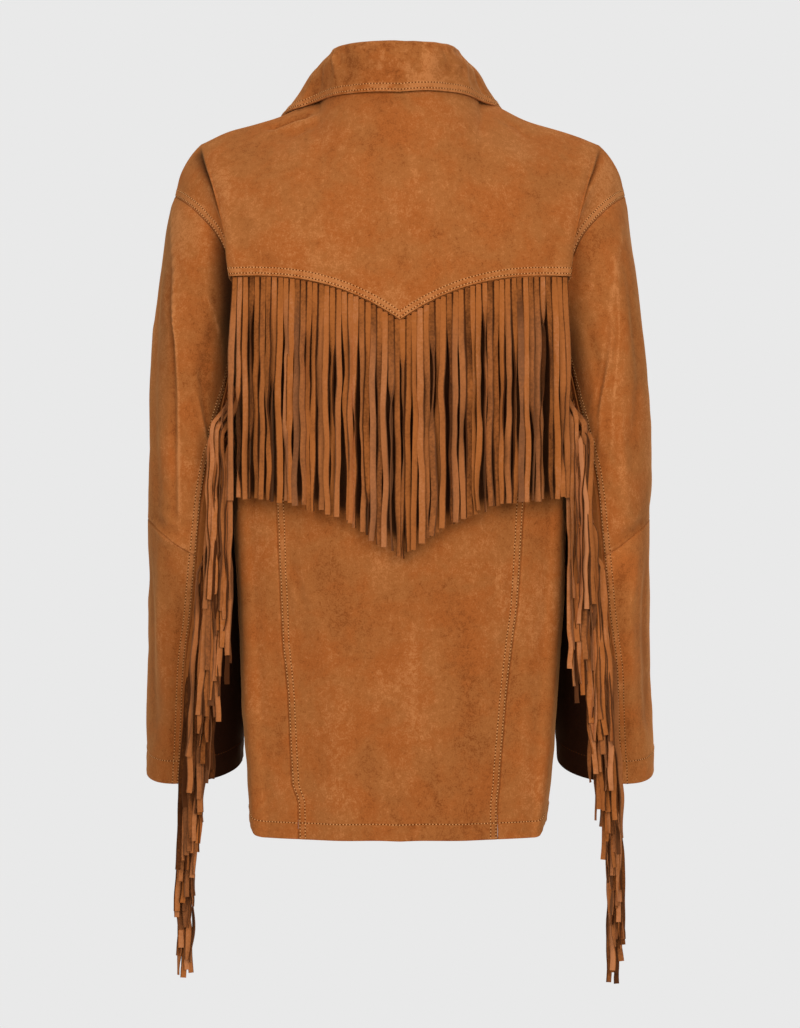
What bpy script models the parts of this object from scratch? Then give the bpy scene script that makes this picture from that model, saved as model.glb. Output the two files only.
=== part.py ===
"""A fringed suede jacket, filled out as it is worn, with nobody in it.

Every piece that a maker cuts is one closed wall of leather. The walls follow three surfaces: the back,
the front and a sleeve. Each surface is a loft through the rows of a short table, and a piece is a patch
of it between two seams. The jacket's back faces -Y, its front +Y, and the wearer's left is -X.
Sizes are in metres. The origin is the middle of the neck opening, level with the shoulder line.
"""

import math

import bmesh
import bpy
import numpy as np

LEATHER = 0.0018  # thickness of a cut piece
GAP = 0.0003  # between two pieces at a seam
STRIP = 0.0012  # thickness of the leather that the fringe is cut from

NECK_WIDTH = 0.078  # half of the neck opening, at the shoulder line
NECK_BACK = 0.066  # from the middle of the opening to the nape
NECK_FRONT = 0.078
NAPE_Z = 0.020
NECK_POINT_Z = 0.018
THROAT_Z = -0.075
NECK_SHARE = 0.42  # the share of the top row that the neckline takes

YOKE_HEIGHT = 0.490  # the yoke's lower edge, up the back from the hem
YOKE_LAP = 0.012  # how far the panels below reach up under the yoke
YOKE_LIFT = LEATHER + STRIP + 4 * GAP  # the yoke's lower edge lies on the fringe and the panels
UNDERARM_HEIGHT = 0.430
TOP_HEIGHT = 0.735

FRONT_LAP = 0.020  # each front reaches this far past the centre
BUTTON_RADIUS = 0.0105
BUTTON_THICK = 0.0035
BUTTON_STAND = 0.0007  # the thread lifts a flat button off the curved front
BUTTON_HEIGHTS = (0.14, 0.25, 0.36, 0.47, 0.58)

STRAND_WIDTH = 0.0054
YOKE_STRANDS = 54
YOKE_FRINGE_LENGTH = 0.214
SLEEVE_STRANDS = 64
SLEEVE_FRINGE_LENGTH = 0.212
STRIP_WIDTH = 0.009
LANE = 0.0057  # the sleeve's strands hang in lanes this wide, the upper ones over the lower ones
LANES = 4
FRINGE_ENDS = (0.08, 0.992)  # the share of the sleeve where its fringe begins and ends
STAND_OFF = 0.013
FAN = 0.03  # the drop over which a strand reaches its lane
LEAN = 0.065  # each strand leans back by this much of its length, so that it clears the ones below
NEAREST_LANE = 29  # no strand hangs nearer to the jacket's middle than this many lanes
ROOT_STEP = (0.0015, 0.005, 0.001)  # a sleeve strand's first step: past the strip's edge, outwards and down
ROOT_TWIST = np.array([0.78, 0, -0.62])  # how its width lies there, turned from the seam's slope to level
ROOT_SHARE = 0.4  # a sleeve strand's half width at that step, as a share of its half width below
SEAM_STEP = 0.0012  # between the sleeve's seam and its fringe's strip
SLEEVE_STRIP = 0.006
FAN_SHARE = 0.3  # how much of the way back to its plane a strand adds to that drop
YOKE_RINGS = (0.05, 0.5, 1.0)  # where along a yoke strand its shape is worked out
YOKE_CLEAR = 0.0006  # a yoke strand's way off the panels, at its root
YOKE_STAND = 0.003  # and at its tip
YOKE_STAGGER = 0.0022  # every other tip stands out this much more

COLOURS = {
    "suede": (0.42, 0.17, 0.055),
    "fringe": (0.45, 0.19, 0.065),
    "button": (0.16, 0.07, 0.03),
}


def table(names, *rows):
    """A table as columns: {name: values of that column}."""
    return dict(zip(names.split(), np.array(rows, float).T))


# One row for each level of the back, from the hem to the shoulder line. centre is the middle of the back,
# crest the fold beside the armhole, or the turn to the side below it, and edge the side seam and then the
# armhole.
# tuck says how far the cloth between crest and edge stands out, or tucks in where it is below 0.
BACK = table(
    "height centre_y centre_z crest_x crest_y crest_z edge_x edge_y edge_z tuck",
    (0.000, -0.112, -0.707, 0.1290, -0.066, -0.705, 0.1455, 0.000, -0.695, 0.004),
    (0.097, -0.112, -0.610, 0.1345, -0.066, -0.610, 0.1525, 0.000, -0.608, 0.004),
    (0.237, -0.109, -0.470, 0.1425, -0.064, -0.470, 0.1600, 0.000, -0.470, 0.004),
    (0.352, -0.111, -0.355, 0.1490, -0.066, -0.351, 0.1655, 0.000, -0.348, 0.003),
    (0.430, -0.117, -0.280, 0.1550, -0.078, -0.262, 0.1665, 0.000, -0.262, -0.002),
    (0.443, -0.118, -0.263, 0.1566, -0.081, -0.242, 0.1655, -0.026, -0.253, -0.005),
    (0.490, -0.120, -0.211, 0.1624, -0.090, -0.167, 0.1600, -0.052, -0.192, -0.008),
    (0.555, -0.118, -0.150, 0.1695, -0.083, -0.130, 0.1735, -0.061, -0.1345, -0.007),
    (0.635, -0.104, -0.070, 0.1830, -0.053, -0.078, 0.2010, -0.041, -0.1000, -0.003),
    (0.685, -0.087, -0.024, 0.1910, -0.029, -0.0545, 0.2145, -0.022, -0.0885, 0.003),
    (0.735, -0.066, 0.020, 0.1974, 0.000, -0.031, 0.2244, 0.000, -0.0815, 0.006),
)
FRONT = table(
    "height centre_y centre_z crest_x crest_y crest_z edge_x edge_y edge_z tuck",
    (0.000, 0.116, -0.707, 0.1290, 0.069, -0.705, 0.1455, 0.000, -0.695, 0.004),
    (0.097, 0.116, -0.610, 0.1345, 0.068, -0.610, 0.1525, 0.000, -0.608, 0.004),
    (0.237, 0.113, -0.470, 0.1425, 0.066, -0.470, 0.1600, 0.000, -0.470, 0.004),
    (0.352, 0.118, -0.362, 0.1475, 0.069, -0.355, 0.1655, 0.000, -0.348, 0.004),
    (0.430, 0.120, -0.296, 0.1480, 0.073, -0.270, 0.1665, 0.000, -0.262, 0.005),
    (0.443, 0.119, -0.283, 0.1478, 0.074, -0.254, 0.1655, 0.026, -0.253, 0.004),
    (0.490, 0.116, -0.240, 0.1470, 0.077, -0.195, 0.1600, 0.050, -0.192, 0.003),
    (0.555, 0.110, -0.184, 0.1540, 0.072, -0.137, 0.1735, 0.058, -0.1345, 0.002),
    (0.635, 0.099, -0.131, 0.1760, 0.048, -0.080, 0.2010, 0.040, -0.1000, 0.004),
    (0.685, 0.089, -0.102, 0.1880, 0.027, -0.0545, 0.2145, 0.021, -0.0885, 0.004),
    (0.735, 0.078, -0.075, 0.1974, 0.000, -0.031, 0.2244, 0.000, -0.0815, 0.006),
)
# One row for each ring of a sleeve, from the armhole to the cuff. tilt lowers the ring's back and raises
# its front.
SLEEVE = table(
    "share outer_x outer_z inner_x inner_z back_y front_y tilt",
    (0.00, 0.2244, -0.0815, 0.1670, -0.262, -0.066, 0.066, 0.000),
    (0.10, 0.2335, -0.1400, 0.1695, -0.285, -0.070, 0.070, 0.000),
    (0.20, 0.2395, -0.1970, 0.1705, -0.315, -0.073, 0.075, 0.000),
    (0.33, 0.2455, -0.2700, 0.1690, -0.355, -0.075, 0.079, 0.000),
    (0.57, 0.2510, -0.4130, 0.1642, -0.445, -0.070, 0.086, -0.004),
    (0.70, 0.2505, -0.4900, 0.1607, -0.505, -0.053, 0.099, -0.008),
    (0.85, 0.2530, -0.5750, 0.1568, -0.570, -0.026, 0.115, -0.012),
    (1.00, 0.2560, -0.6580, 0.1590, -0.640, -0.004, 0.108, -0.015),
)
# Where the fringed seam runs down the back of a sleeve, in degrees round it from the outer side, and where
# the elbow seam crosses it.
FRINGE_SEAM = table(
    "share angle",
    (0.0, 150), (0.1, 147), (0.25, 131), (0.42, 111), (0.56, 101), (0.705, 90), (0.8, 83), (1.0, 79),
)
ELBOW_SEAM = table(
    "angle share",
    (-100, 0.570), (0, 0.566), (60, 0.568), (105, 0.584), (180, 0.590), (260, 0.570),
)
FRONT_SEAM_ANGLE = -100
# The levels at which the pieces are worked out. Where two pieces meet, they share them.
YOKE_ROWS = YOKE_HEIGHT + (TOP_HEIGHT - YOKE_HEIGHT) * np.array(
    [0, 0.07, 0.15, 0.25, 0.36, 0.48, 0.60, 0.71, 0.81, 0.89, 0.95, 1]
)
LOWER_ROWS = np.array([0, 0.012, 0.04, 0.09, 0.15, 0.21, 0.27, 0.325, 0.38, 0.43, 0.443, 0.458, 0.475])
FRONT_ROWS = np.array(
    [0, 0.012, 0.05, 0.11, 0.18, 0.24, 0.3, 0.36, 0.43, 0.443]
    + [0.46, 0.49, 0.53, 0.57, 0.61, 0.65, 0.685, 0.715, 0.735]
)
FRINGE_SEAM_START = 0.458  # the back's level where the sleeve's fringed seam begins
FRONT_SEAM_START = 0.49
# The panel seams of the back, as a share of the way from its centre to the crest.
PANEL_SEAM = table("height share", (0.0, 0.75), (0.26, 0.80), (0.50, 0.84), (0.735, 0.84))
# The collar, from the centre back (0) to its front ends (1). stand rises from the neckline and leans out,
# and from its fold the fall drops and spreads. swing carries the front points away from the centre.
COLLAR = table(
    "share stand lean drop spread swing",
    (0.00, 0.0420, 0.004, 0.0490, 0.005, 0.000),
    (0.25, 0.0410, -0.006, 0.0460, 0.017, 0.000),
    (0.50, 0.0375, -0.015, 0.0405, 0.032, 0.000),
    (0.72, 0.0320, -0.005, 0.0520, 0.040, 0.004),
    (0.88, 0.0260, 0.003, 0.0660, 0.035, 0.016),
    (1.00, 0.0200, 0.006, 0.0740, 0.030, 0.044),
)
COLLAR_FOLD = 0.0042  # radius of the turn between stand and fall
COLLAR_INSET = 1.5 * LEATHER + 2 * GAP
# The places round the collar, and round the necklines it is sewn to, where their shapes are worked out.
COLLAR_STEPS = np.array([0, 0.09, 0.18, 0.27, 0.35, 0.43, 0.5, 0.57, 0.65, 0.73, 0.81, 0.88, 0.94, 1])
COLLAR_END = 0.985


def smooth(knots, values, at):
    """A smooth curve through a table's column, read at any place. It never swings past its rows, and it has a
    corner where a level stretch ends."""
    at = np.clip(at, knots[0], knots[-1])
    steps = np.diff(knots)
    slopes = np.diff(values) / steps
    before, after = slopes[:-1], slopes[1:]
    both = before * after
    shared = np.where(both > 0, 2 * both / np.where(both > 0, before + after, 1), 0)
    at_start = np.concatenate([slopes[:1], np.where(before == 0, after, shared)])
    at_end = np.concatenate([np.where(after == 0, before, shared), slopes[-1:]])
    i = np.clip(np.searchsorted(knots, at, side="right") - 1, 0, len(knots) - 2)
    t = (at - knots[i]) / steps[i]
    return (
        (1 + 2 * t) * (1 - t) ** 2 * values[i]
        + t * (1 - t) ** 2 * steps[i] * at_start[i]
        + t**2 * (3 - 2 * t) * values[i + 1]
        + t**2 * (t - 1) * steps[i] * at_end[i]
    )


def read(rows, key, at, names):
    return [smooth(rows[key], rows[name], at) for name in names.split()]


def ease(low, high, x):
    t = np.clip((x - low) / (high - low), 0, 1)
    return t * t * (3 - 2 * t)


def unit(v):
    return v / np.maximum(np.linalg.norm(v, axis=-1, keepdims=True), 1e-12)


def hermite(t, start, start_slope, end, end_slope):
    t = t[..., None]
    return (
        (1 + 2 * t) * (1 - t) ** 2 * start
        + t * (1 - t) ** 2 * start_slope
        + t**2 * (3 - 2 * t) * end
        + t**2 * (t - 1) * end_slope
    )


def neckline(share):
    """The neck opening on the +X side, from the nape (0) past the shoulder line (0.5) to the throat (1)."""
    turn = math.pi * share
    back = share < 0.5
    deep = np.where(back, NECK_BACK, NECK_FRONT)
    low = np.where(back, NAPE_Z, THROAT_Z)
    x = NECK_WIDTH * np.sin(turn)
    z = NECK_POINT_Z + (low - NECK_POINT_Z) * np.abs(np.cos(turn)) ** 1.3
    return np.stack([x, -deep * np.cos(turn), z], -1)


def top_row(rows, across):
    """The row that ends a body surface: along the neckline, then down the shoulder line to the crest."""
    is_back = rows is BACK
    share = np.clip(across / NECK_SHARE, 0, 1) * 0.5
    neck = neckline(share if is_back else 1 - share)
    along = np.clip((across - NECK_SHARE) / (1 - NECK_SHARE), 0, 1)[..., None]
    corner = np.array([NECK_WIDTH, 0, NECK_POINT_Z])
    crest = np.array([rows[f"crest_{a}"][-1] for a in "xyz"])
    return np.where((across <= NECK_SHARE)[..., None], neck, corner + (crest - corner) * along)


def body(rows, across, height):
    """A body surface. across is 0 at the centre, 1 at the crest and 2 at the edge, and negative on the
    -X side."""
    side = np.where(across < 0, -1.0, 1.0)
    a = np.abs(across)
    centre_y, centre_z, crest_x, crest_y, crest_z, edge_x, edge_y, edge_z, tuck = read(
        rows, "height", height, "centre_y centre_z crest_x crest_y crest_z edge_x edge_y edge_z tuck"
    )
    crest = np.stack([crest_x, crest_y, crest_z], -1)
    edge = np.stack([edge_x, edge_y, edge_z], -1)
    inner = np.clip(a, 0, 1)
    rise = 1 - (1 - inner) ** 2.6 if rows is BACK else inner**2
    panel_y = centre_y + (crest_y - centre_y) * inner**3
    panel = np.stack([crest_x * inner, panel_y, centre_z + (crest_z - centre_z) * rise], -1)
    near_top = np.clip((height - YOKE_HEIGHT) / (TOP_HEIGHT - YOKE_HEIGHT), 0, 1)[..., None] ** 3.2
    panel = panel * (1 - near_top) + top_row(rows, inner) * near_top
    trough = (crest + edge) / 2 + tuck[..., None] * np.array([1.0, 0, 0])
    level = 1 - near_top
    shoulder = unit(crest - np.array([NECK_WIDTH, 0, NECK_POINT_Z])) + unit(edge - crest)
    leave = unit(np.stack([crest_x, 3 * (crest_y - centre_y), crest_z * 0], -1))
    leave = leave * level + shoulder / 2 * near_top
    leave = leave * np.linalg.norm(trough - crest, axis=-1, keepdims=True) * 0.8
    through = (edge - crest) / 2
    below = 1 - ease(UNDERARM_HEIGHT - 0.03, UNDERARM_HEIGHT + 0.03, height)[..., None]
    arrive = (edge - trough) * (1 - below) + through * np.array([0, 1.0, 0]) * below
    first = hermite(np.clip((a - 1) * 2, 0, 1), crest, leave, trough, through)
    second = hermite(np.clip((a - 1.5) * 2, 0, 1), trough, through, edge, arrive)
    outer = np.where((a < 1.5)[..., None], first, second)
    points = np.where((a <= 1)[..., None], panel, outer)
    return points * np.stack([side, side * 0 + 1, side * 0 + 1], -1)


def normals(surface, u, v, u_range, v_range, step=2e-3):
    """The surface's outward direction at each point, from its slope along both parameters."""
    du, dv = (step * (r[1] - r[0]) for r in (u_range, v_range))
    u_low, u_high = np.clip(u - du, *u_range), np.clip(u + du, *u_range)
    v_low, v_high = np.clip(v - dv, *v_range), np.clip(v + dv, *v_range)
    return unit(np.cross(surface(u_high, v) - surface(u_low, v), surface(u, v_high) - surface(u, v_low)))


def body_out(rows, across, height):
    """The way out of a body surface. At the shoulder line it points straight up from the ridge, for both
    pieces."""
    out = normals(lambda u, v: body(rows, u, v), across, height, (-2, 2), (0, TOP_HEIGHT))
    if rows is FRONT:
        out = -out
    ridge = ease(TOP_HEIGHT - 0.06, TOP_HEIGHT - 0.004, height)
    ridge = ridge * ease(0.7, 1.05, np.abs(across) / NECK_SHARE)
    out[..., 1] *= 1 - ridge
    return unit(out)


def armhole_half(rows, heights):
    """The armhole at the levels of a body piece: its points, the way out there, and how far down it each
    one is."""
    line = np.stack(read(rows, "height", heights, "edge_x edge_y edge_z"), -1)
    length = np.concatenate([[0], np.cumsum(np.linalg.norm(np.diff(line, axis=0), axis=1))])
    return line, body_out(rows, 0 * heights + 2, heights), length / length[-1]


def armhole_levels(heights):
    return np.unique(heights[heights >= UNDERARM_HEIGHT])[::-1]


def armhole_line():
    """The whole armhole on the +X side, down the back and up the front: places, points and ways out."""
    back = armhole_half(BACK, armhole_levels(np.concatenate([YOKE_ROWS, LOWER_ROWS])))
    front = armhole_half(FRONT, armhole_levels(FRONT_ROWS))
    turns = np.concatenate([back[2], 2 - front[2][-2::-1]])
    points = np.concatenate([back[0], front[0][-2::-1]])
    outward = np.concatenate([back[1], front[1][-2::-1]])
    return turns, points, outward


def armhole(turn):
    """The armhole at any place, from the shoulder (0) down the back to the underarm (1) and up the front
    (2)."""
    turns, points, outward = ARMHOLE
    place = [np.interp(turn, turns, points[:, k]) for k in range(3)]
    out = [np.interp(turn, turns, outward[:, k]) for k in range(3)]
    return np.stack(place, -1), unit(np.stack(out, -1))


def armhole_angle(rows, height):
    """The place of one of a body piece's levels round the armhole, in degrees."""
    levels = YOKE_ROWS if rows is BACK else FRONT_ROWS
    levels = armhole_levels(np.concatenate([levels, LOWER_ROWS]) if rows is BACK else levels)
    place = armhole_half(rows, levels)[2][np.abs(levels - height).argmin()]
    return 180 * place if rows is BACK else -180 * place


def power(x, n):
    return np.sign(x) * np.abs(x) ** (2 / n)


def sleeve(angle, share):
    """A sleeve on the +X side. angle is in degrees: 0 outside, 90 at the back, 180 inside, -90 at the
    front."""
    outer_x, outer_z, inner_x, inner_z, back_y, front_y, tilt = read(
        SLEEVE, "share", share, "outer_x outer_z inner_x inner_z back_y front_y tilt"
    )
    turn = np.radians(angle)
    wide, deep = power(np.cos(turn), 2.3), power(np.sin(turn), 2.3)
    ring = np.stack(
        [
            (outer_x + inner_x) / 2 + (outer_x - inner_x) / 2 * wide,
            (front_y + back_y) / 2 + (back_y - front_y) / 2 * deep,
            (outer_z + inner_z) / 2 + (outer_z - inner_z) / 2 * wide + tilt * deep,
        ],
        -1,
    )
    start = armhole(np.mod(angle, 360) / 180)[0]
    leave = ease(-0.02, 0.17, share)[..., None]
    first = ease(-0.02, 0.17, np.zeros(1))
    leave = (leave - first) / (1 - first)
    return start * (1 - leave) + ring * leave


def sleeve_out(angle, share):
    """The way out of a sleeve. At the armhole it is the body's own, unless the sleeve stands out from the
    body."""
    out = normals(sleeve, angle, np.maximum(share, 0.05), (-360, 360), (0, 1), 1e-3)
    start, outward = armhole(np.mod(angle, 360) / 180)
    leaving = unit(sleeve(angle, 0 * share + 0.06) - start)
    alike = (1 - ease(0, 0.5, (leaving * outward).sum(-1))) * ease(-0.3, 0.3, (out * outward).sum(-1))
    alike = alike * (share < 1e-6)
    return unit(out * (1 - alike[..., None]) + outward * alike[..., None])


def material(name):
    made = bpy.data.materials.get(name) or bpy.data.materials.new(name)
    made.use_nodes = True
    shader = made.node_tree.nodes["Principled BSDF"]
    shader.inputs["Base Color"].default_value = (*COLOURS[name], 1)
    shader.inputs["Roughness"].default_value = 0.35 if name == "button" else 0.95
    return made


def add_object(name, mesh, finish):
    """Puts a finished mesh in the jacket's collection, its faces turned outwards."""
    made = bmesh.new()
    made.from_mesh(mesh)
    bmesh.ops.recalc_face_normals(made, faces=made.faces)
    made.to_mesh(mesh)
    made.free()
    mesh.shade_smooth()
    mesh.set_sharp_from_angle(angle=math.radians(50))
    mesh.materials.append(material(finish))
    obj = bpy.data.objects.new(name, mesh)
    bpy.data.collections["fringed_jacket"].objects.link(obj)
    return obj


def grid_faces(rows, columns, first=0):
    """The quads of a grid of points that are numbered row by row from first."""
    i, j = np.meshgrid(np.arange(rows - 1), np.arange(columns - 1), indexing="ij")
    at = first + i * columns + j
    return np.stack([at, at + 1, at + columns + 1, at + columns], -1).reshape(-1, 4)


def wall(name, outside, inside, finish="suede"):
    """One closed wall between an outside and an inside grid of the same shape."""
    rows, columns = outside.shape[:2]
    count = rows * columns
    number = np.arange(count).reshape(rows, columns)
    rim = np.concatenate([number[0, :-1], number[:-1, -1], number[-1, :0:-1], number[:0:-1, 0]])
    after = np.roll(rim, -1)
    sides = np.stack([rim, rim + count, after + count, after], -1)
    faces = np.concatenate([grid_faces(rows, columns), grid_faces(rows, columns, count)[:, ::-1], sides])
    points = np.concatenate([outside.reshape(-1, 3), inside.reshape(-1, 3)])
    mesh = bpy.data.meshes.new(name)
    mesh.from_pydata(points.tolist(), [], faces.tolist())
    return add_object(name, mesh, finish)


def mirrored(points, side):
    return points * np.array([side, 1.0, 1.0])


def between(low, high, steps):
    """A grid's values: each row runs evenly from that row's low to its high."""
    t = np.linspace(0, 1, steps + 1) if np.isscalar(steps) else np.asarray(steps)
    low, high = np.atleast_1d(low)[:, None], np.atleast_1d(high)[:, None]
    return low + (high - low) * t[None, :]


def body_piece(name, rows, across, height, lift=0.0, side=1):
    """A piece of the back or the front, LEATHER thick, its outside lifted off the surface by lift."""
    points, out = body(rows, across, height), body_out(rows, across, height)
    at_ridge = ease(TOP_HEIGHT - 0.004, TOP_HEIGHT, height) * (np.abs(across) > NECK_SHARE * 0.9)
    points[..., 1] += at_ridge * (GAP * 0.8 if rows is FRONT else -GAP * 0.8)
    lift = np.asarray(lift)[..., None] if np.ndim(lift) else lift
    wall(name, mirrored(points + out * lift, side), mirrored(points + out * (lift - LEATHER), side))


def across_gap(rows, across, height, distance):
    """The change in across that moves a point along its row by distance."""
    step = 1e-3
    length = np.linalg.norm(body(rows, across + step, height) - body(rows, across - step, height), axis=-1)
    return distance * 2 * step / length


def neck_columns():
    """The columns of a body piece that meet the collar, from the centre to the shoulder line."""
    return NECK_SHARE * np.append(COLLAR_STEPS[:6] * COLLAR_END * 2, 1)


def build_yoke():
    heights = YOKE_ROWS
    edge_gap = across_gap(BACK, 0 * heights + 1.95, heights, GAP)
    half = np.concatenate([neck_columns(), [0.6, 0.76, 0.88, 0.96, 1.05, 1.2, 1.38, 1.6, 1.8, 2]])
    columns = np.concatenate([-half[:0:-1], half])
    across = columns[None, :] - edge_gap[:, None] * np.clip(columns, -1, 1) * (np.abs(columns) > 1.6)
    height = np.repeat(heights[:, None], len(columns), axis=1)
    lift = YOKE_LIFT * (1 - ease(0.016, 0.08, height - YOKE_HEIGHT)) * (1 - ease(1.3, 1.9, np.abs(across)))
    body_piece("back_yoke", BACK, across, height, lift)


def build_lower_back():
    heights = np.append(LOWER_ROWS, YOKE_HEIGHT + YOKE_LAP)
    seam = smooth(PANEL_SEAM["height"], PANEL_SEAM["share"], heights)
    half_gap = across_gap(BACK, seam, heights, GAP / 2)
    height = np.repeat(heights[:, None], 13, axis=1)
    body_piece("back_centre", BACK, between(half_gap - seam, seam - half_gap, 12), height)
    shares = np.array([0, 0.07, 0.13, 0.2, 0.3, 0.42, 0.55, 0.7, 0.85, 1])
    edge_gap = across_gap(BACK, 0 * heights + 1.95, heights, GAP)
    across = between(seam + half_gap, 2 - edge_gap, shares)
    height = np.repeat(heights[:, None], len(shares), axis=1)
    # Past the fold, the panel and the yoke meet edge to edge.
    height[-1] -= (YOKE_LAP + GAP) * ease(1.0, 1.1, across[-1])
    for side, word in ((-1, "left"), (1, "right")):
        body_piece(f"back_side_{word}", BACK, across, height, side=side)


def build_fronts():
    heights = FRONT_ROWS
    crest_x = smooth(FRONT["height"], FRONT["crest_x"], heights)
    edge_gap = across_gap(FRONT, 0 * heights + 1.95, heights, GAP)[:, None]
    columns = np.concatenate([neck_columns(), [0.58, 0.75, 0.9, 1.02, 1.2, 1.5, 1.8, 2]])[None, :]
    lap = FRONT_LAP / crest_x * (1 - 0.5 * ease(0.6, TOP_HEIGHT, heights))
    across = np.concatenate([-lap[:, None], columns - edge_gap * (columns > 1.6)], axis=1)
    height = np.repeat(heights[:, None], across.shape[1], axis=1)
    body_piece("front_left", FRONT, across, height, side=-1)
    lift = (LEATHER + 3 * GAP) * (1 - ease(0.14, 0.4, across))
    body_piece("front_right", FRONT, across, height, lift)


def sleeve_piece(name, angle, share, side, out=0.0):
    """A piece of a sleeve, LEATHER thick, its outside lifted off the surface by out."""
    points, way_out = sleeve(angle, share), sleeve_out(angle, share)
    wall(name, mirrored(points + way_out * out, side), mirrored(points + way_out * (out - LEATHER), side))


def gap_angle(angle, share, distance):
    """The change in angle that moves a point round the sleeve by distance."""
    length = np.linalg.norm(sleeve(angle + 0.5, share) - sleeve(angle - 0.5, share), axis=-1)
    return distance / length


def fringe_seam(share):
    begins = armhole_angle(BACK, FRINGE_SEAM_START) - FRINGE_SEAM["angle"][0]
    return smooth(FRINGE_SEAM["share"], FRINGE_SEAM["angle"], share) + begins * (1 - ease(0, 0.12, share))


def front_seam(share):
    begins = armhole_angle(FRONT, FRONT_SEAM_START)
    return FRONT_SEAM_ANGLE + (begins - FRONT_SEAM_ANGLE) * (1 - ease(0, 0.3, share))


def build_sleeves():
    upper = np.array([0, 0.12, 0.22, 0.34, 0.48, 0.64, 0.82, 1])[:, None]
    lower = np.array([0, 0.15, 0.33, 0.52, 0.72, 0.88, 1])[:, None]
    after = 0.0006  # the elbow seam's gap, as a share of the sleeve
    front = {"low": front_seam, "high": fringe_seam}
    under = {"low": fringe_seam, "high": lambda share: front_seam(share) + 360}
    for name, part, rows in (
        ("sleeve_upper", front, lambda elbow: upper * elbow),
        ("sleeve_lower", front, lambda elbow: elbow + after + (1 - elbow - after) * lower),
        ("undersleeve", under, lambda elbow: np.vstack([upper * elbow, elbow + (1 - elbow) * lower[1:]])),
    ):
        # At the armhole, the columns are the levels of the body's pieces. Further down they are even.
        low, high = part["low"](np.zeros(1))[0], part["high"](np.zeros(1))[0]
        levels = ARMHOLE[0] * 180
        levels = np.concatenate([levels - 360, levels, levels + 360])
        levels = np.unique(np.round(levels[(levels > low + 0.5) & (levels < high - 0.5)], 6))
        levels = np.concatenate([[low], levels, [high]])
        wide = np.diff(levels) > 13
        levels = np.sort(np.concatenate([levels, (levels[:-1] + np.diff(levels) / 2)[wide]]))
        uneven = np.linspace(0, 1, 15) if name == "sleeve_lower" else (levels - low) / (high - low)
        even = np.linspace(0, 1, uneven.size)
        elbow = 0 * even[None, :] + 0.57
        for _ in range(4):
            share = rows(elbow)
            even_here = ease(0.02, 0.25, share)
            t = uneven * (1 - even_here) + even * even_here
            low, high = part["low"](share[:, :1]), part["high"](share[:, -1:])
            angle = low + (high - low) * t
            at_elbow = np.abs(share - elbow).argmin(axis=0)
            there = angle[at_elbow, np.arange(even.size)]
            elbow = smooth(ELBOW_SEAM["angle"], ELBOW_SEAM["share"], there)[None, :]
        angle = angle + gap_angle(angle, share, GAP / 2) * (1 - 2 * t)
        for side, word in ((-1, "left"), (1, "right")):
            sleeve_piece(f"{name}_{word}", angle, share, side)


def build_collar():
    a = COLLAR_STEPS
    stand, lean, drop, spread, swing = read(COLLAR, "share", a, "stand lean drop spread swing")
    turn = math.pi * a * COLLAR_END
    e = np.stack([np.sin(turn), -np.cos(turn), 0 * turn], -1)
    up = np.array([0, 0, 1.0])
    seam = neckline(a * COLLAR_END) - e * COLLAR_INSET - up * 0.001
    fold = seam + up * stand[:, None] + e * lean[:, None]
    edge = fold + e * spread[:, None] - up * drop[:, None] + np.array([1.0, 0, 0]) * swing[:, None]
    fall = unit(edge - fold)
    rise = unit(fold - seam)
    r = COLLAR_FOLD
    lines = [
        seam,
        (seam + fold) / 2,
        fold - rise * r * 1.2,
        fold - rise * r * 0.3 + e * r * 0.3,
        fold + e * r,
        fold + e * r * 1.8 + fall * r * 0.4,
        fold + e * r * 2 + fall * r * 1.6,
        (fold + edge) / 2 + e * (r * 1.4 + 0.004),
        edge + e * r,
    ]
    half = np.stack(lines, 1)
    flip = np.array([-1.0, 1, 1])
    across = np.concatenate([half[:0:-1] * flip, half])
    out = unit(np.cross(np.gradient(across, axis=1), np.gradient(across, axis=0)))
    wall("collar", across + out * LEATHER / 2, across - out * LEATHER / 2)


def build_buttons():
    for number, height in enumerate(BUTTON_HEIGHTS, 1):
        at = body(FRONT, np.zeros(1), np.array([height]))
        out = body_out(FRONT, np.zeros(1), np.array([height]))
        lift = LEATHER + 4 * GAP + BUTTON_STAND + BUTTON_THICK / 2
        centre = at[0] + out[0] * lift
        bpy.ops.mesh.primitive_cylinder_add(
            vertices=14, radius=BUTTON_RADIUS, depth=BUTTON_THICK, location=centre.tolist()
        )
        button = bpy.context.object
        button.name = f"button_{number}"
        button.rotation_euler = (math.atan2(-out[0][1], out[0][2]), 0, 0)
        rounded = button.modifiers.new("edge", "BEVEL")
        rounded.width = 0.0008
        rounded.segments = 1
        button.data.materials.append(material("button"))
        for owner in list(button.users_collection):
            owner.objects.unlink(button)
        bpy.data.collections["fringed_jacket"].objects.link(button)


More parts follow.
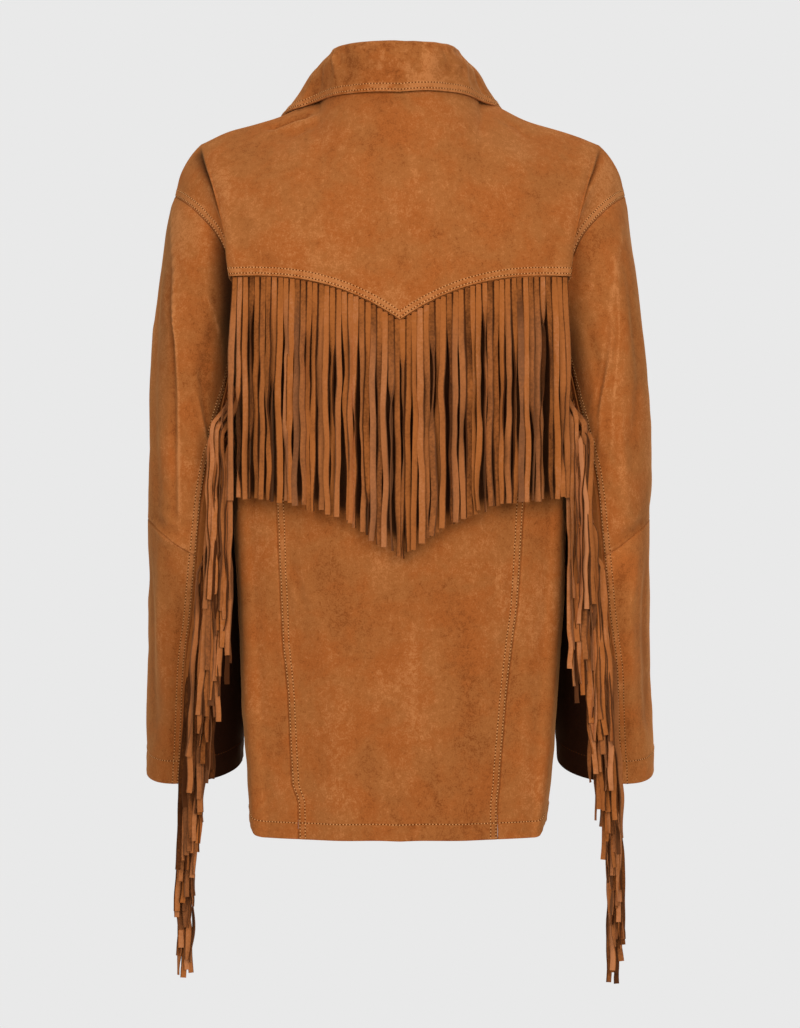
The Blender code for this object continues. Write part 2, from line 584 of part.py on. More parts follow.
def fringe(name, roots, out, paths):
    """A strip with strands cut from its lower edge. roots is the strip's grid of points: its first row is the
    one with the strands. out is the way out of it. paths gives each strand's rings: centre, width's
    direction, half the width, and half the thickness as a step."""
    columns = roots.shape[1]
    outside, inside = roots + out * STRIP, roots
    points = list(np.concatenate([outside.reshape(-1, 3), inside.reshape(-1, 3)]))
    count = 2 * columns
    faces = grid_faces(2, columns).tolist() + grid_faces(2, columns, count)[:, ::-1].tolist()
    for i in range(columns, count - 1):
        faces.append([i, i + 1, i + 1 + count, i + count])
    faces.append([0, columns, columns + count, count])
    faces.append([columns - 1, count - 1, 2 * count - 1, columns - 1 + count])
    for i, rings in enumerate(paths):
        last = [i, i + 1, i + 1 + count, i + count]
        for centre, wide, half, thin in rings:
            first = len(points)
            points += [centre - wide * half + thin, centre + wide * half + thin]
            points += [centre + wide * half - thin, centre - wide * half - thin]
            ring = [first, first + 1, first + 2, first + 3]
            faces += [[last[k], last[(k + 1) % 4], ring[(k + 1) % 4], ring[k]] for k in range(4)]
            last = ring
        faces.append(last)
    mesh = bpy.data.meshes.new(name)
    mesh.from_pydata([tuple(p) for p in points], [], faces)
    return add_object(name, mesh, "fringe")


def wobble(number, seed):
    """A steady value from -1 to 1 for a strand, different for each number and seed."""
    return 2 * math.modf(abs(math.sin(number * 12.9898 + seed * 78.233)) * 43758.5453)[0] - 1


def build_yoke_fringe():
    columns = YOKE_STRANDS + 1
    # Even spacing across the back, up to the fold's crest.
    across = np.linspace(-0.995, 0.995, columns)
    height = np.array([YOKE_HEIGHT - 0.0015, YOKE_HEIGHT + STRIP_WIDTH])[:, None] + 0 * across[None, :]
    across = across[None, :] + 0 * height
    out = body_out(BACK, across, height)
    roots = body(BACK, across, height) + out * GAP
    paths = []
    for i in range(YOKE_STRANDS):
        root = (roots[0, i] + roots[0, i + 1]) / 2 + out[0, i] * STRIP / 2
        wide = unit(roots[0, i + 1] - roots[0, i])
        flat = unit(wide * np.array([1, 1, 0]))
        away = unit(np.cross(flat, np.array([0, 0, 1.0])))
        length = YOKE_FRINGE_LENGTH + 0.014 * (1 - abs(across[0, i])) ** 2 + 0.002 * wobble(i, 1)
        rings = []
        for part, drop in enumerate(YOKE_RINGS):
            sway = 0.0005 * wobble(i, 2) * drop
            stagger = YOKE_STAGGER * (i % 2) + 0.0004 * wobble(i, 3)
            hang = away * (YOKE_CLEAR + (YOKE_STAND + stagger) * drop)
            centre = root + flat * sway + hang - np.array([0, 0, length * drop])
            half = STRAND_WIDTH / 2 * (0.9 if part else 0.94)
            rings.append((centre, flat, half, away * STRIP / 2))
        paths.append(rings)
    fringe("yoke_fringe", roots, out, paths)


def build_sleeve_fringes():
    # The strands are evenly spaced along the seam.
    fine = np.linspace(*FRINGE_ENDS, 200)
    line = sleeve(fringe_seam(fine), fine)
    length = np.concatenate([[0], np.cumsum(np.linalg.norm(np.diff(line, axis=0), axis=1))])
    share = np.interp(np.linspace(0, length[-1], SLEEVE_STRANDS + 1), length, fine)
    seam = fringe_seam(share)
    near, far = gap_angle(seam, share, SEAM_STEP), gap_angle(seam, share, SEAM_STEP + SLEEVE_STRIP)
    angle = np.stack([seam + far, seam + near])
    share = np.stack([share, share])
    out = sleeve_out(angle, share)
    roots = sleeve(angle, share) + out * GAP * 2.5
    last_used = {}
    paths = []
    for i in range(SLEEVE_STRANDS):
        root = (roots[0, i] + roots[0, i + 1]) / 2 + out[0, i] * STRIP / 2
        inward = unit(roots[0, i] - roots[1, i])
        # The strand takes the lane, of those near its root, that was used longest ago.
        lowest = max(int(root[0] / LANE) - LANES + 1, NEAREST_LANE)
        lane = min(range(lowest, lowest + LANES), key=lambda n: last_used.get(n, -n))
        last_used[lane] = i
        length = SLEEVE_FRINGE_LENGTH + 0.006 * wobble(i, 4)
        # It hangs just behind the part of the sleeve that reaches furthest back, from its root down.
        below = np.linspace(share[0, i], 1, 20)
        hang_y = min(smooth(SLEEVE["share"], SLEEVE["back_y"], below).min(), root[1]) - STAND_OFF
        half = STRAND_WIDTH / 2 * 0.92
        fan = FAN + FAN_SHARE * max(0, root[1] - hang_y - STAND_OFF)
        first = root + inward * ROOT_STEP[0] + out[0, i] * ROOT_STEP[1] - np.array([0, 0, ROOT_STEP[2]])
        thin = unit(out[0, i] - inward * 0.7 - np.array([0, 2.0, 0])) * STRIP / 2
        rings = [(first, unit(ROOT_TWIST), half * ROOT_SHARE, thin)]
        for drop in (fan, length):
            centre = np.array([lane * LANE, hang_y - LEAN * drop, root[2] - drop])
            rings.append((centre, np.array([1.0, 0, 0]), half, np.array([0, -STRIP / 2, 0])))
        paths.append(rings)
    for side, word in ((-1, "left"), (1, "right")):
        mirror = np.array([side, 1.0, 1.0])
        turned = [[(c * mirror, w * mirror, h, t * mirror) for c, w, h, t in rings] for rings in paths]
        fringe(f"sleeve_fringe_{word}", roots * mirror, out * mirror, turned)


ARMHOLE = armhole_line()


def main():
    for obj in list(bpy.data.objects):
        bpy.data.objects.remove(obj)
    jacket = bpy.data.collections.new("fringed_jacket")
    bpy.context.scene.collection.children.link(jacket)
    build_yoke()
    build_lower_back()
    build_fronts()
    build_sleeves()
    build_collar()
    build_buttons()
    build_yoke_fringe()
    build_sleeve_fringes()


main()
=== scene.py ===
import math

import bpy
import numpy as np
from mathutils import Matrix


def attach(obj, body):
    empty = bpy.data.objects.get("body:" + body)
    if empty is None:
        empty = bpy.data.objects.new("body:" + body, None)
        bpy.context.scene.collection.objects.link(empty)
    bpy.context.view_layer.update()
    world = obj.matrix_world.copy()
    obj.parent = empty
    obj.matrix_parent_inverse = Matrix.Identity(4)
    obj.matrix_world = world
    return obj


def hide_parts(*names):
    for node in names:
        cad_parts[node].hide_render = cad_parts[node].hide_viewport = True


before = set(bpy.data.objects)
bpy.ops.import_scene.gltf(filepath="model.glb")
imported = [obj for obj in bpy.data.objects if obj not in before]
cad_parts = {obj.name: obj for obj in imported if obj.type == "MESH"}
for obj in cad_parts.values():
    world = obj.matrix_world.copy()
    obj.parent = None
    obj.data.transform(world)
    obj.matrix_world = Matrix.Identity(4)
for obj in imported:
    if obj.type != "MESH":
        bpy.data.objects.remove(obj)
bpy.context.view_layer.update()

# A fringed suede jacket, worn by nobody. Metres. Its back faces -Y, its front +Y, the wearer's left is -X.

# Camera, light and floor

studio = {
    "cameraPlace": (0.0, -3.11, -0.397),
    "lens": 109.4,
    "sensor": 36.0,
    "background": (0.815, 0.815, 0.815),
    "ambient": 0.24,
    "floorLevel": -1.6,
    "floorRadius": 4.0,
    "floorColour": (0.80, 0.80, 0.80),
    "lights": {  # place, where it aims, size, watts
        "keyLight": ((1.25, -3.2, 0.9), (0, 0, -0.35), 2.0, 64),
        "fillLight": ((-1.35, -3.2, 0.7), (0, 0, -0.35), 2.0, 56),
        "topLight": ((0.0, -0.3, 2.6), (0, 0, 0), 1.8, 22),
        "farLight": ((0.8, 3.4, 1.0), (0, 0, -0.35), 2.6, 80),
    },
}


def aimed(name, data, place, target):
    thing = bpy.data.objects.new(name, data)
    bpy.context.scene.collection.objects.link(thing)
    way = np.array(target, float) - np.array(place, float)
    flat = math.hypot(way[0], way[1])
    thing.location = place
    thing.rotation_euler = (math.atan2(flat, -way[2]), 0, math.atan2(-way[0], way[1]))
    return thing


def makeStudio():
    lens = bpy.data.cameras.new("studioCamera")
    lens.lens, lens.sensor_width, lens.clip_start = studio["lens"], studio["sensor"], 0.05
    place = studio["cameraPlace"]
    bpy.context.scene.camera = aimed("studioCamera", lens, place, (place[0], 0, place[2]))
    for name, (place, target, size, watts) in studio["lights"].items():
        lamp = bpy.data.lights.new(name, "AREA")
        lamp.shape, lamp.size, lamp.energy = "SQUARE", size, watts
        aimed(name, lamp, place, target)
    sky = bpy.data.worlds.new("studioSky")
    sky.use_nodes = True
    bpy.context.scene.world = sky
    tree = sky.node_tree
    seen = addNode(tree, "ShaderNodeLightPath", {}, {}, "Is Camera Ray")
    glow = studio["ambient"] + (1 - studio["ambient"]) * seen
    back = tree.nodes["Background"]
    back.inputs["Color"].default_value = rgba(studio["background"])
    tree.links.new(glow.socket, back.inputs["Strength"])
    turn = np.linspace(0, 2 * math.pi, 96, endpoint=False)
    rim = np.stack([np.cos(turn), np.sin(turn), 0 * turn], -1) * studio["floorRadius"]
    rim[:, 2] = studio["floorLevel"]
    mesh = bpy.data.meshes.new("studioFloor")
    mesh.from_pydata(rim.tolist(), [], [list(range(len(rim)))])
    mesh.materials.append(newFinish("floorPaint", {"Base Color": rgba(studio["floorColour"]), "Roughness": 0.9})[0])
    floor = bpy.data.objects.new("studioFloor", mesh)
    bpy.context.scene.collection.objects.link(floor)
    bpy.context.scene.view_settings.view_transform = "Standard"
    print("studio made")


# Shader nodes as expressions

class Value:
    # A node's output that can be added, multiplied and so on.
    def __init__(self, tree, socket):
        self.tree, self.socket = tree, socket

    def maths(self, operation, *values):
        return addNode(self.tree, "ShaderNodeMath", {"operation": operation}, dict(enumerate(values)))

    def __add__(self, other):
        return self.maths("ADD", self, other)

    def __sub__(self, other):
        return self.maths("SUBTRACT", self, other)

    def __rsub__(self, other):
        return self.maths("SUBTRACT", other, self)

    def __mul__(self, other):
        return self.maths("MULTIPLY", self, other)

    __radd__ = __add__
    __rmul__ = __mul__

    def __abs__(self):
        return self.maths("ABSOLUTE", self)

    def ramp(self, low, high):  # 0 at low, 1 at high, smooth between
        kind = {"interpolation_type": "SMOOTHSTEP"}
        return addNode(self.tree, "ShaderNodeMapRange", kind, {"Value": self, "From Min": low, "From Max": high})


def addNode(tree, kind, settings, values, output=0):
    made = tree.nodes.new(kind)
    for name, value in settings.items():
        setattr(made, name, value)
    for name, value in values.items():
        if isinstance(value, Value):
            tree.links.new(value.socket, made.inputs[name])
        else:
            made.inputs[name].default_value = value
    return Value(tree, made.outputs[output])


def mixed(tree, share, first, second):  # two colours
    return addNode(tree, "ShaderNodeMix", {"data_type": "RGBA"}, {0: share, 6: first, 7: second}, 2)


def objectPlace(tree):
    return addNode(tree, "ShaderNodeTexCoord", {}, {}, "Object")


def noise(tree, place, scale, detail=2.0, distortion=0.0, roughness=0.5):
    values = {"Vector": place, "Scale": scale, "Detail": detail, "Distortion": distortion, "Roughness": roughness}
    return addNode(tree, "ShaderNodeTexNoise", {}, values)


def stretched(tree, place):  # so that the brushed nap runs down the leather
    return addNode(tree, "ShaderNodeVectorMath", {"operation": "MULTIPLY"}, {0: place, 1: (1.0, 1.0, 0.4)})


def attribute(tree, name):
    return addNode(tree, "ShaderNodeAttribute", {"attribute_name": name}, {}, "Fac")


suedeLook = {
    "dark": (0.235, 0.060, 0.0110),
    "ruddy": (0.368, 0.100, 0.0195),
    "golden": (0.358, 0.116, 0.0275),
    "light": (0.496, 0.178, 0.0530),
    "pale": (0.440, 0.165, 0.0620),
    "strand": (0.355, 0.106, 0.0220),
    "thread": (0.740, 0.360, 0.1300),
    # The needle holes' colour is painted shade, the dark inside a hole.
    "needleHole": (0.115, 0.032, 0.0070),
    "button": (0.085, 0.032, 0.0120),
    "rows": (2.4, 7.9),  # where the rows of topstitching lie, in mm from the seam
    "roughness": 0.93,
    "paintedShadow": (0.014, 0.004, 0.0018),  # painted shadow: the near-black of the shade between sleeve and body, and under the fringe
}


def rgba(colour, times=1.0):
    return (*(c * times for c in colour), 1)


def newFinish(name, sockets):
    # A material whose shader has these constants, and its nodes.
    made = bpy.data.materials.new(name)
    made.use_nodes = True
    for socket, value in sockets.items():
        made.node_tree.nodes["Principled BSDF"].inputs[socket].default_value = value
    return made, made.node_tree


def cover(tree, colour, height, strength, distance):
    # Colour and bump go to the shader.
    bump = addNode(tree, "ShaderNodeBump", {}, {"Height": height, "Strength": strength, "Distance": distance})
    tree.links.new(colour.socket, tree.nodes["Principled BSDF"].inputs["Base Color"])
    tree.links.new(bump.socket, tree.nodes["Principled BSDF"].inputs["Normal"])


def suede(name, tone=1.0, bandPale=0.24, mottle=0.3, sheen=0.34):
    look = suedeLook
    made, tree = newFinish(name, {
        "Roughness": look["roughness"], "Specular IOR Level": 0.06,
        "Sheen Weight": sheen, "Sheen Roughness": 0.5, "Sheen Tint": rgba((1.0, 0.52, 0.20)),
    })
    place = objectPlace(tree)
    cloud = noise(tree, place, 10.0, 2.0)
    brushed = noise(tree, stretched(tree, place), 70.0, 4.0, 0.8, 0.6)
    nap = noise(tree, place, 200.0, 4.0, 0.9, 0.6)
    grain = noise(tree, place, 800.0, 2.0)
    hue = noise(tree, place, 24.0, 4.0, 0.3, 0.6)
    blotch = noise(tree, place, 75.0, 4.0, 0.9, 0.6)
    seam, crack, hem, fold, hidden = (attribute(tree, n) for n in ("seam", "crack", "hem", "fold", "hidden"))
    shade = 0.5 + (cloud - 0.5) * 0.65 + (brushed - 0.5) * 0.55 + (nap - 0.5) + (grain - 0.5) * 0.95
    shade = shade + (blotch - 0.5) * mottle
    # Stitched bands are rubbed paler. Ridges are painted paler and troughs darker, as rubbed nap and as painted light
    # and shade, and seams and stitch holes are painted darker as shade.
    low, high = look["rows"]
    band = 1 - seam.ramp(high - 0.5, high + 2.5)
    row = sum(1 - abs(distance).ramp(0.15, 0.75) for distance in (seam - low, seam - high, hem))
    shade = shade + band * bandPale + fold * 0.09 - (1 - crack.ramp(0.1, 1.2)) * 0.4 - row * 0.12
    middle = mixed(tree, hue.ramp(0.36, 0.64), rgba(look["ruddy"], tone), rgba(look["golden"], tone))
    darker = mixed(tree, shade.ramp(0.0, 0.5), rgba(look["dark"], tone), middle)
    colour = mixed(tree, shade.ramp(0.5, 1.0), darker, rgba(look["light"], tone))
    # Where the painted shade mask is set, the colour goes to the painted shadow colour.
    colour = mixed(tree, hidden, colour, rgba(look["paintedShadow"]))
    cover(tree, colour, nap * 0.6 + grain * 0.5 + brushed * 0.6 - row * 0.9, 0.35, 0.0007)
    return made


def fringeSuede():
    look = suedeLook
    made, tree = newFinish("fringeSuede", {
        "Roughness": look["roughness"], "Specular IOR Level": 0.08,
        "Sheen Weight": 0.12, "Sheen Tint": rgba((1.0, 0.55, 0.25)),
    })
    place = objectPlace(tree)
    brushed = noise(tree, stretched(tree, place), 90.0, 4.0, 0.5)
    nap = noise(tree, place, 420.0, 3.0)
    grain = noise(tree, place, 1700.0, 2.0)
    tone, flesh = attribute(tree, "tone"), attribute(tree, "flesh")
    # The tone attribute holds each strand's own tone, with painted shade on one edge and on deep strands.
    shade = tone + (brushed - 0.5) * 0.5 + (nap - 0.5) * 0.55 + (grain - 0.5) * 0.2
    darker = mixed(tree, shade.ramp(-0.2, 0.5), rgba(look["dark"], 0.25), rgba(look["strand"]))
    colour = mixed(tree, shade.ramp(0.45, 0.95), darker, rgba(look["pale"], 1.1))
    pale = mixed(tree, (nap * 0.6 + brushed * 0.4).ramp(0.3, 0.7), rgba(look["pale"], 0.8), rgba(look["pale"]))
    cover(tree, mixed(tree, flesh, colour, pale), nap * 0.6 + grain * 0.25 + brushed * 0.5, 0.35, 0.0006)
    return made


def plain(name, colour, roughness, scale, share, shine=0.5):
    made, tree = newFinish(name, {"Roughness": roughness, "Specular IOR Level": shine})
    fleck = noise(tree, objectPlace(tree), scale, 3.0)
    tint = mixed(tree, fleck.ramp(0.3, 0.7), rgba(colour, 1 - share), rgba(colour, 1 + share))
    # Where a piece carries the painted shade mask, its colour goes to the painted shadow colour.
    cover(tree, mixed(tree, attribute(tree, "hidden"), tint, rgba(suedeLook["paintedShadow"])), fleck, 0.2, 0.0003)
    return made


# The jacket's surfaces

cut = {
    "leather": 0.0018,
    "gap": 0.0001,
    "neckWidth": 0.078,
    "neckBack": 0.066,
    "neckFront": 0.078,
    "napeLevel": 0.020,
    "neckPointLevel": 0.018,
    "throatLevel": -0.075,
    "neckShare": 0.42,
    "yokeHeight": 0.490,
    "yokeLap": 0.012,
    "yokeLift": 0.0042,
    "underarm": 0.430,
    "top": 0.735,
    "frontLap": 0.020,
}


def table(names, *rows):  # lengths are in millimetres
    columns = dict(zip(names.split(), np.array(rows, float).T))
    plainNames = ("share", "angle", "left", "right")
    return {name: column if name in plainNames else column / 1000 for name, column in columns.items()}


bodyColumns = "centreY centreZ crestX crestY crestZ edgeX edgeY edgeZ tuck"
backRows = table(
    "height " + bodyColumns,
    (0, -112, -707, 129, -66, -705, 145.5, 0, -695, 4),
    (97, -112, -610, 134.5, -66, -610, 152.5, 0, -608, 4),
    (237, -109, -470, 142.5, -64, -470, 160, 0, -470, 4),
    (352, -111, -355, 149, -66, -351, 165.5, 0, -348, 3),
    (430, -117, -280, 155, -78, -262, 166.5, 0, -262, -2),
    (443, -118, -263, 156.6, -81, -242, 165.5, -26, -253, -5),
    (490, -120, -211, 162.4, -90, -167, 160, -52, -192, -8),
    (555, -118, -150, 169.5, -83, -130, 173.5, -61, -134.5, -7),
    (635, -104, -70, 183, -53, -78, 201, -41, -100, -3),
    (685, -87, -24, 191, -29, -54.5, 214.5, -22, -88.5, 3),
    (735, -66, 20, 197.4, 0, -31, 224.4, 0, -81.5, 6),
)
frontRows = table(
    "height " + bodyColumns,
    (0, 116, -707, 129, 69, -705, 145.5, 0, -695, 4),
    (97, 116, -610, 134.5, 68, -610, 152.5, 0, -608, 4),
    (237, 113, -470, 142.5, 66, -470, 160, 0, -470, 4),
    (352, 118, -362, 147.5, 69, -355, 165.5, 0, -348, 4),
    (430, 120, -296, 148, 73, -270, 166.5, 0, -262, 5),
    (443, 119, -283, 147.8, 74, -254, 165.5, 26, -253, 4),
    (490, 116, -240, 147, 77, -195, 160, 50, -192, 3),
    (555, 110, -184, 154, 72, -137, 173.5, 58, -134.5, 2),
    (635, 99, -131, 176, 48, -80, 201, 40, -100, 4),
    (685, 89, -102, 188, 27, -54.5, 214.5, 21, -88.5, 4),
    (735, 78, -75, 197.4, 0, -31, 224.4, 0, -81.5, 6),
)
sleeveRows = table(
    "share outerX outerZ innerX innerZ backY frontY tilt",
    (0, 224.4, -81.5, 167, -262, -66, 66, 0),
    (0.1, 233.5, -140, 169.5, -285, -70, 70, 0),
    (0.2, 239.5, -197, 170.5, -315, -73, 75, 0),
    (0.33, 245.5, -270, 169, -355, -75, 79, 0),
    (0.57, 251, -413, 164.2, -445, -70, 86, -4),
    (0.7, 250.5, -490, 160.7, -505, -53, 99, -8),
    (0.85, 253, -575, 156.8, -570, -26, 115, -12),
    (1, 256, -658, 159, -640, -4, 108, -15),
)
fringeSeamRows = table(
    "share angle",
    (0, 150), (0.1, 147), (0.25, 131), (0.42, 111), (0.56, 101), (0.705, 90), (0.8, 83), (1, 79),
)
elbowRows = table("angle share", (-100, 0.562), (0, 0.546), (60, 0.556), (105, 0.574), (180, 0.586), (260, 0.566))
panelRows = table(
    "height left right",
    (0, 0.76, 0.733), (33, 0.756, 0.726), (52, 0.797, 0.735), (128, 0.799, 0.757), (186, 0.819, 0.783),
    (224, 0.819, 0.806), (310, 0.816, 0.818), (502, 0.84, 0.84),
)
collarRows = table(
    "share stand lean drop spread swing",
    (0, 44, 3, 48, 2, 0),
    (0.25, 44.8, -8, 49, 19, 0),
    (0.5, 45, -23, 52, 53, 0),
    (0.72, 34.5, -13, 56, 52, 4),
    (0.88, 26, 1, 66, 38, 16),
    (1, 20, 6, 74, 30, 44),
)


def smooth(knots, values, at):  # a cubic through a column, with no swing past its rows
    at = np.clip(at, knots[0], knots[-1])
    run = np.diff(knots)
    slopes = np.diff(values) / run
    before, after = slopes[:-1], slopes[1:]
    both = before * after
    shared = np.where(both > 0, 2 * both / np.where(both > 0, before + after, 1), 0)
    atStart = np.concatenate([slopes[:1], np.where(before == 0, after, shared)])
    atEnd = np.concatenate([np.where(after == 0, before, shared), slopes[-1:]])
    i = np.clip(np.searchsorted(knots, at, side="right") - 1, 0, len(knots) - 2)
    t = (at - knots[i]) / run[i]
    ends = (1 + 2 * t) * (1 - t) ** 2 * values[i] + t**2 * (3 - 2 * t) * values[i + 1]
    return ends + t * (1 - t) ** 2 * run[i] * atStart[i] + t**2 * (t - 1) * run[i] * atEnd[i]


def readAt(rows, key, at, names):
    return [smooth(rows[key], rows[name], at) for name in names.split()]


def ease(low, high, x):
    t = np.clip((x - low) / (high - low), 0, 1)
    return t * t * (3 - 2 * t)


def unit(v):
    return v / np.maximum(np.linalg.norm(v, axis=-1, keepdims=True), 1e-12)


def running(points, axis):  # how far each point of a grid is from its first row or column, along the grid's lines
    far = np.cumsum(np.linalg.norm(np.diff(points, axis=axis), axis=-1), axis=axis)
    return np.concatenate([0 * far.take([0], axis), far], axis)


def alongLine(at, length, values):
    return np.stack([np.interp(at, length, values[:, k]) for k in range(3)], -1)


def hermite(t, start, startSlope, end, endSlope):
    t = t[..., None]
    ends = (1 + 2 * t) * (1 - t) ** 2 * start + t**2 * (3 - 2 * t) * end
    return ends + t * (1 - t) ** 2 * startSlope + t**2 * (t - 1) * endSlope


def neckline(share):  # from the nape (0) past the shoulder line (0.5) to the throat (1)
    turn = math.pi * share
    back = share < 0.5
    deep = np.where(back, cut["neckBack"], cut["neckFront"])
    low = np.where(back, cut["napeLevel"], cut["throatLevel"])
    z = cut["neckPointLevel"] + (low - cut["neckPointLevel"]) * np.abs(np.cos(turn)) ** 1.3
    return np.stack([cut["neckWidth"] * np.sin(turn), -deep * np.cos(turn), z], -1)


def topRow(rows, across):  # the neckline, then the shoulder line
    share = np.clip(across / cut["neckShare"], 0, 1) * 0.5
    neck = neckline(share if rows is backRows else 1 - share)
    along = np.clip((across - cut["neckShare"]) / (1 - cut["neckShare"]), 0, 1)[..., None]
    corner = np.array([cut["neckWidth"], 0, cut["neckPointLevel"]])
    crest = np.array([rows["crest" + axis][-1] for axis in "XYZ"])
    return np.where((across <= cut["neckShare"])[..., None], neck, corner + (crest - corner) * along)


def body(rows, across, height):
    # A loft: across is 0 at the centre, 1 at the crest of the fold and 2 at the side seam or armhole.
    side = np.where(across < 0, -1.0, 1.0)
    a = np.abs(across)
    centreY, centreZ, crestX, crestY, crestZ, edgeX, edgeY, edgeZ, tuck = readAt(rows, "height", height, bodyColumns)
    crest = np.stack([crestX, crestY, crestZ], -1)
    edge = np.stack([edgeX, edgeY, edgeZ], -1)
    inner = np.clip(a, 0, 1)
    rise = 1 - (1 - inner) ** 2.6 if rows is backRows else inner**2
    panel = [crestX * inner, centreY + (crestY - centreY) * inner**3, centreZ + (crestZ - centreZ) * rise]
    nearTop = np.clip((height - cut["yokeHeight"]) / (cut["top"] - cut["yokeHeight"]), 0, 1)[..., None] ** 3.2
    panel = np.stack(panel, -1) * (1 - nearTop) + topRow(rows, inner) * nearTop
    trough = (crest + edge) / 2 + tuck[..., None] * np.array([1.0, 0, 0])
    shoulder = unit(crest - np.array([cut["neckWidth"], 0, cut["neckPointLevel"]])) + unit(edge - crest)
    leave = unit(np.stack([crestX, 3 * (crestY - centreY), crestZ * 0], -1)) * (1 - nearTop) + shoulder / 2 * nearTop
    leave = leave * np.linalg.norm(trough - crest, axis=-1, keepdims=True) * 0.8
    through = (edge - crest) / 2
    below = 1 - ease(cut["underarm"] - 0.03, cut["underarm"] + 0.03, height)[..., None]
    arrive = (edge - trough) * (1 - below) + through * np.array([0, 1.0, 0]) * below
    first = hermite(np.clip((a - 1) * 2, 0, 1), crest, leave, trough, through)
    second = hermite(np.clip((a - 1.5) * 2, 0, 1), trough, through, edge, arrive)
    points = np.where((a <= 1)[..., None], panel, np.where((a < 1.5)[..., None], first, second))
    return points * np.stack([side, side * 0 + 1, side * 0 + 1], -1)


def normals(surface, u, v, uRange, vRange, step=2e-3):
    du, dv = (step * (r[1] - r[0]) for r in (uRange, vRange))
    uLow, uHigh = np.clip(u - du, *uRange), np.clip(u + du, *uRange)
    vLow, vHigh = np.clip(v - dv, *vRange), np.clip(v + dv, *vRange)
    return unit(np.cross(surface(uHigh, v) - surface(uLow, v), surface(u, vHigh) - surface(u, vLow)))


def bodyOut(rows, across, height):
    out = normals(lambda u, v: body(rows, u, v), across, height, (-2, 2), (0, cut["top"]))
    if rows is frontRows:
        out = -out
    ridge = ease(cut["top"] - 0.06, cut["top"] - 0.004, height) * ease(0.7, 1.05, np.abs(across) / cut["neckShare"])
    out[..., 1] *= 1 - ridge
    return unit(out)


def armholeHalf(rows):
    heights = np.linspace(cut["top"], cut["underarm"], 90)
    line = np.stack(readAt(rows, "height", heights, "edgeX edgeY edgeZ"), -1)
    length = running(line, 0)
    return heights, line, bodyOut(rows, 0 * heights + 2, heights), length / length[-1]


backHole, frontHole = armholeHalf(backRows), armholeHalf(frontRows)
holeTurns = np.concatenate([backHole[3], 2 - frontHole[3][-2::-1]])
holeLine = np.concatenate([backHole[1], frontHole[1][-2::-1]])
holeOut = np.concatenate([backHole[2], frontHole[2][-2::-1]])


def armhole(turn):  # from the shoulder (0) down the back to the underarm (1) and up the front (2)
    return alongLine(turn, holeTurns, holeLine), unit(alongLine(turn, holeTurns, holeOut))


def armholeAngle(half, height):
    return 180 * np.interp(-height, -half[0], half[3])


def power(x, n):
    return np.sign(x) * np.abs(x) ** (2 / n)


def sleeve(angle, share):
    # Rounded square rings: angle is 0 outside, 90 at the back, 180 inside, -90 at the front.
    names = "outerX outerZ innerX innerZ backY frontY tilt"
    outerX, outerZ, innerX, innerZ, backY, frontY, tilt = readAt(sleeveRows, "share", share, names)
    turn = np.radians(angle)
    wide, deep = power(np.cos(turn), 2.3), power(np.sin(turn), 2.3)
    x = (outerX + innerX) / 2 + (outerX - innerX) / 2 * wide
    y = (frontY + backY) / 2 + (backY - frontY) / 2 * deep
    z = (outerZ + innerZ) / 2 + (outerZ - innerZ) / 2 * wide + tilt * deep
    start = armhole(np.mod(angle, 360) / 180)[0]
    first = ease(-0.02, 0.17, np.zeros(1))
    leave = ((ease(-0.02, 0.17, share) - first) / (1 - first))[..., None]
    return start * (1 - leave) + np.stack([x, y, z], -1) * leave


def sleeveOut(angle, share):
    out = normals(sleeve, angle, np.maximum(share, 0.05), (-360, 360), (0, 1), 1e-3)
    start, outward = armhole(np.mod(angle, 360) / 180)
    leaving = unit(sleeve(angle, 0 * share + 0.06) - start)
    alike = (1 - ease(0, 0.5, (leaving * outward).sum(-1))) * ease(-0.3, 0.3, (out * outward).sum(-1))
    alike = (alike * (1 - ease(0, 0.03, share)))[..., None]
    return unit(out * (1 - alike) + outward * alike)


def fringeSeam(share):
    begins = armholeAngle(backHole, 0.458) - fringeSeamRows["angle"][0]
    return smooth(fringeSeamRows["share"], fringeSeamRows["angle"], share) + begins * (1 - ease(0, 0.12, share))


def frontSeam(share):
    begins = -armholeAngle(frontHole, 0.49)
    return -100 + (begins + 100) * (1 - ease(0, 0.3, share))


def gapAngle(angle, share, distance):
    return distance / np.linalg.norm(sleeve(angle + 0.5, share) - sleeve(angle - 0.5, share), axis=-1)


def acrossGap(rows, across, height, distance):
    step = 1e-3
    length = np.linalg.norm(body(rows, across + step, height) - body(rows, across - step, height), axis=-1)
    return distance * 2 * step / length


# Folds and creases

# Each crease is a line from one place to another. width is its half width, depth how far it stands out, or sinks
# in where it is below 0, and bow how far its middle is to one side.
creaseColumns = "a0 b0 a1 b1 width depth bow"
backCreases = table(  # places are x and z
    creaseColumns,
    (6, -45, 4, -185, 3.5, -0.9, 1),
    (-168, -75, -120, -128, 9, 1.6, 6),
    (-160, -130, -105, -165, 8, -1.4, 5),
    (170, -80, 118, -135, 9, 1.5, -6),
    (158, -135, 112, -172, 7, -1.3, -5),
    (-70, -30, -125, -50, 10, 1.2, -4),
    (75, -30, 130, -55, 10, 1.3, 4),
    (-40, 12, 35, 8, 6, -0.9, 4),
    (-131, -14.5, -90, -1, 3, -5, 1),
    (-126, -20, -78, -5.5, 3, 3, 1),
    (-112, -27, -82, -14, 3.4, -1.8, 1),
    (100, -6, 128, -26, 4, -1.4, -1),
    (-106.3, -437.5, -90.8, -489.5, 3.5, -1.4, 1),
    (-112, -445, -96, -495, 4, 1.1, 1),
    (-92, -440, -60, -560, 11, 1.5, 6),
    (-55, -560, -62, -690, 13, 1.9, 4),
    (12, -520, 4, -680, 16, 1.5, -6),
    (60, -470, 72, -640, 14, -1.8, 6),
    (100, -455, 90, -530, 7, 1.3, -3),
    (116, -520, 108, -660, 8, -1.6, 4),
    (-122, -500, -118, -640, 9, -1.7, -4),
    (-30, -620, -26, -705, 9, -1.3, 2),
)
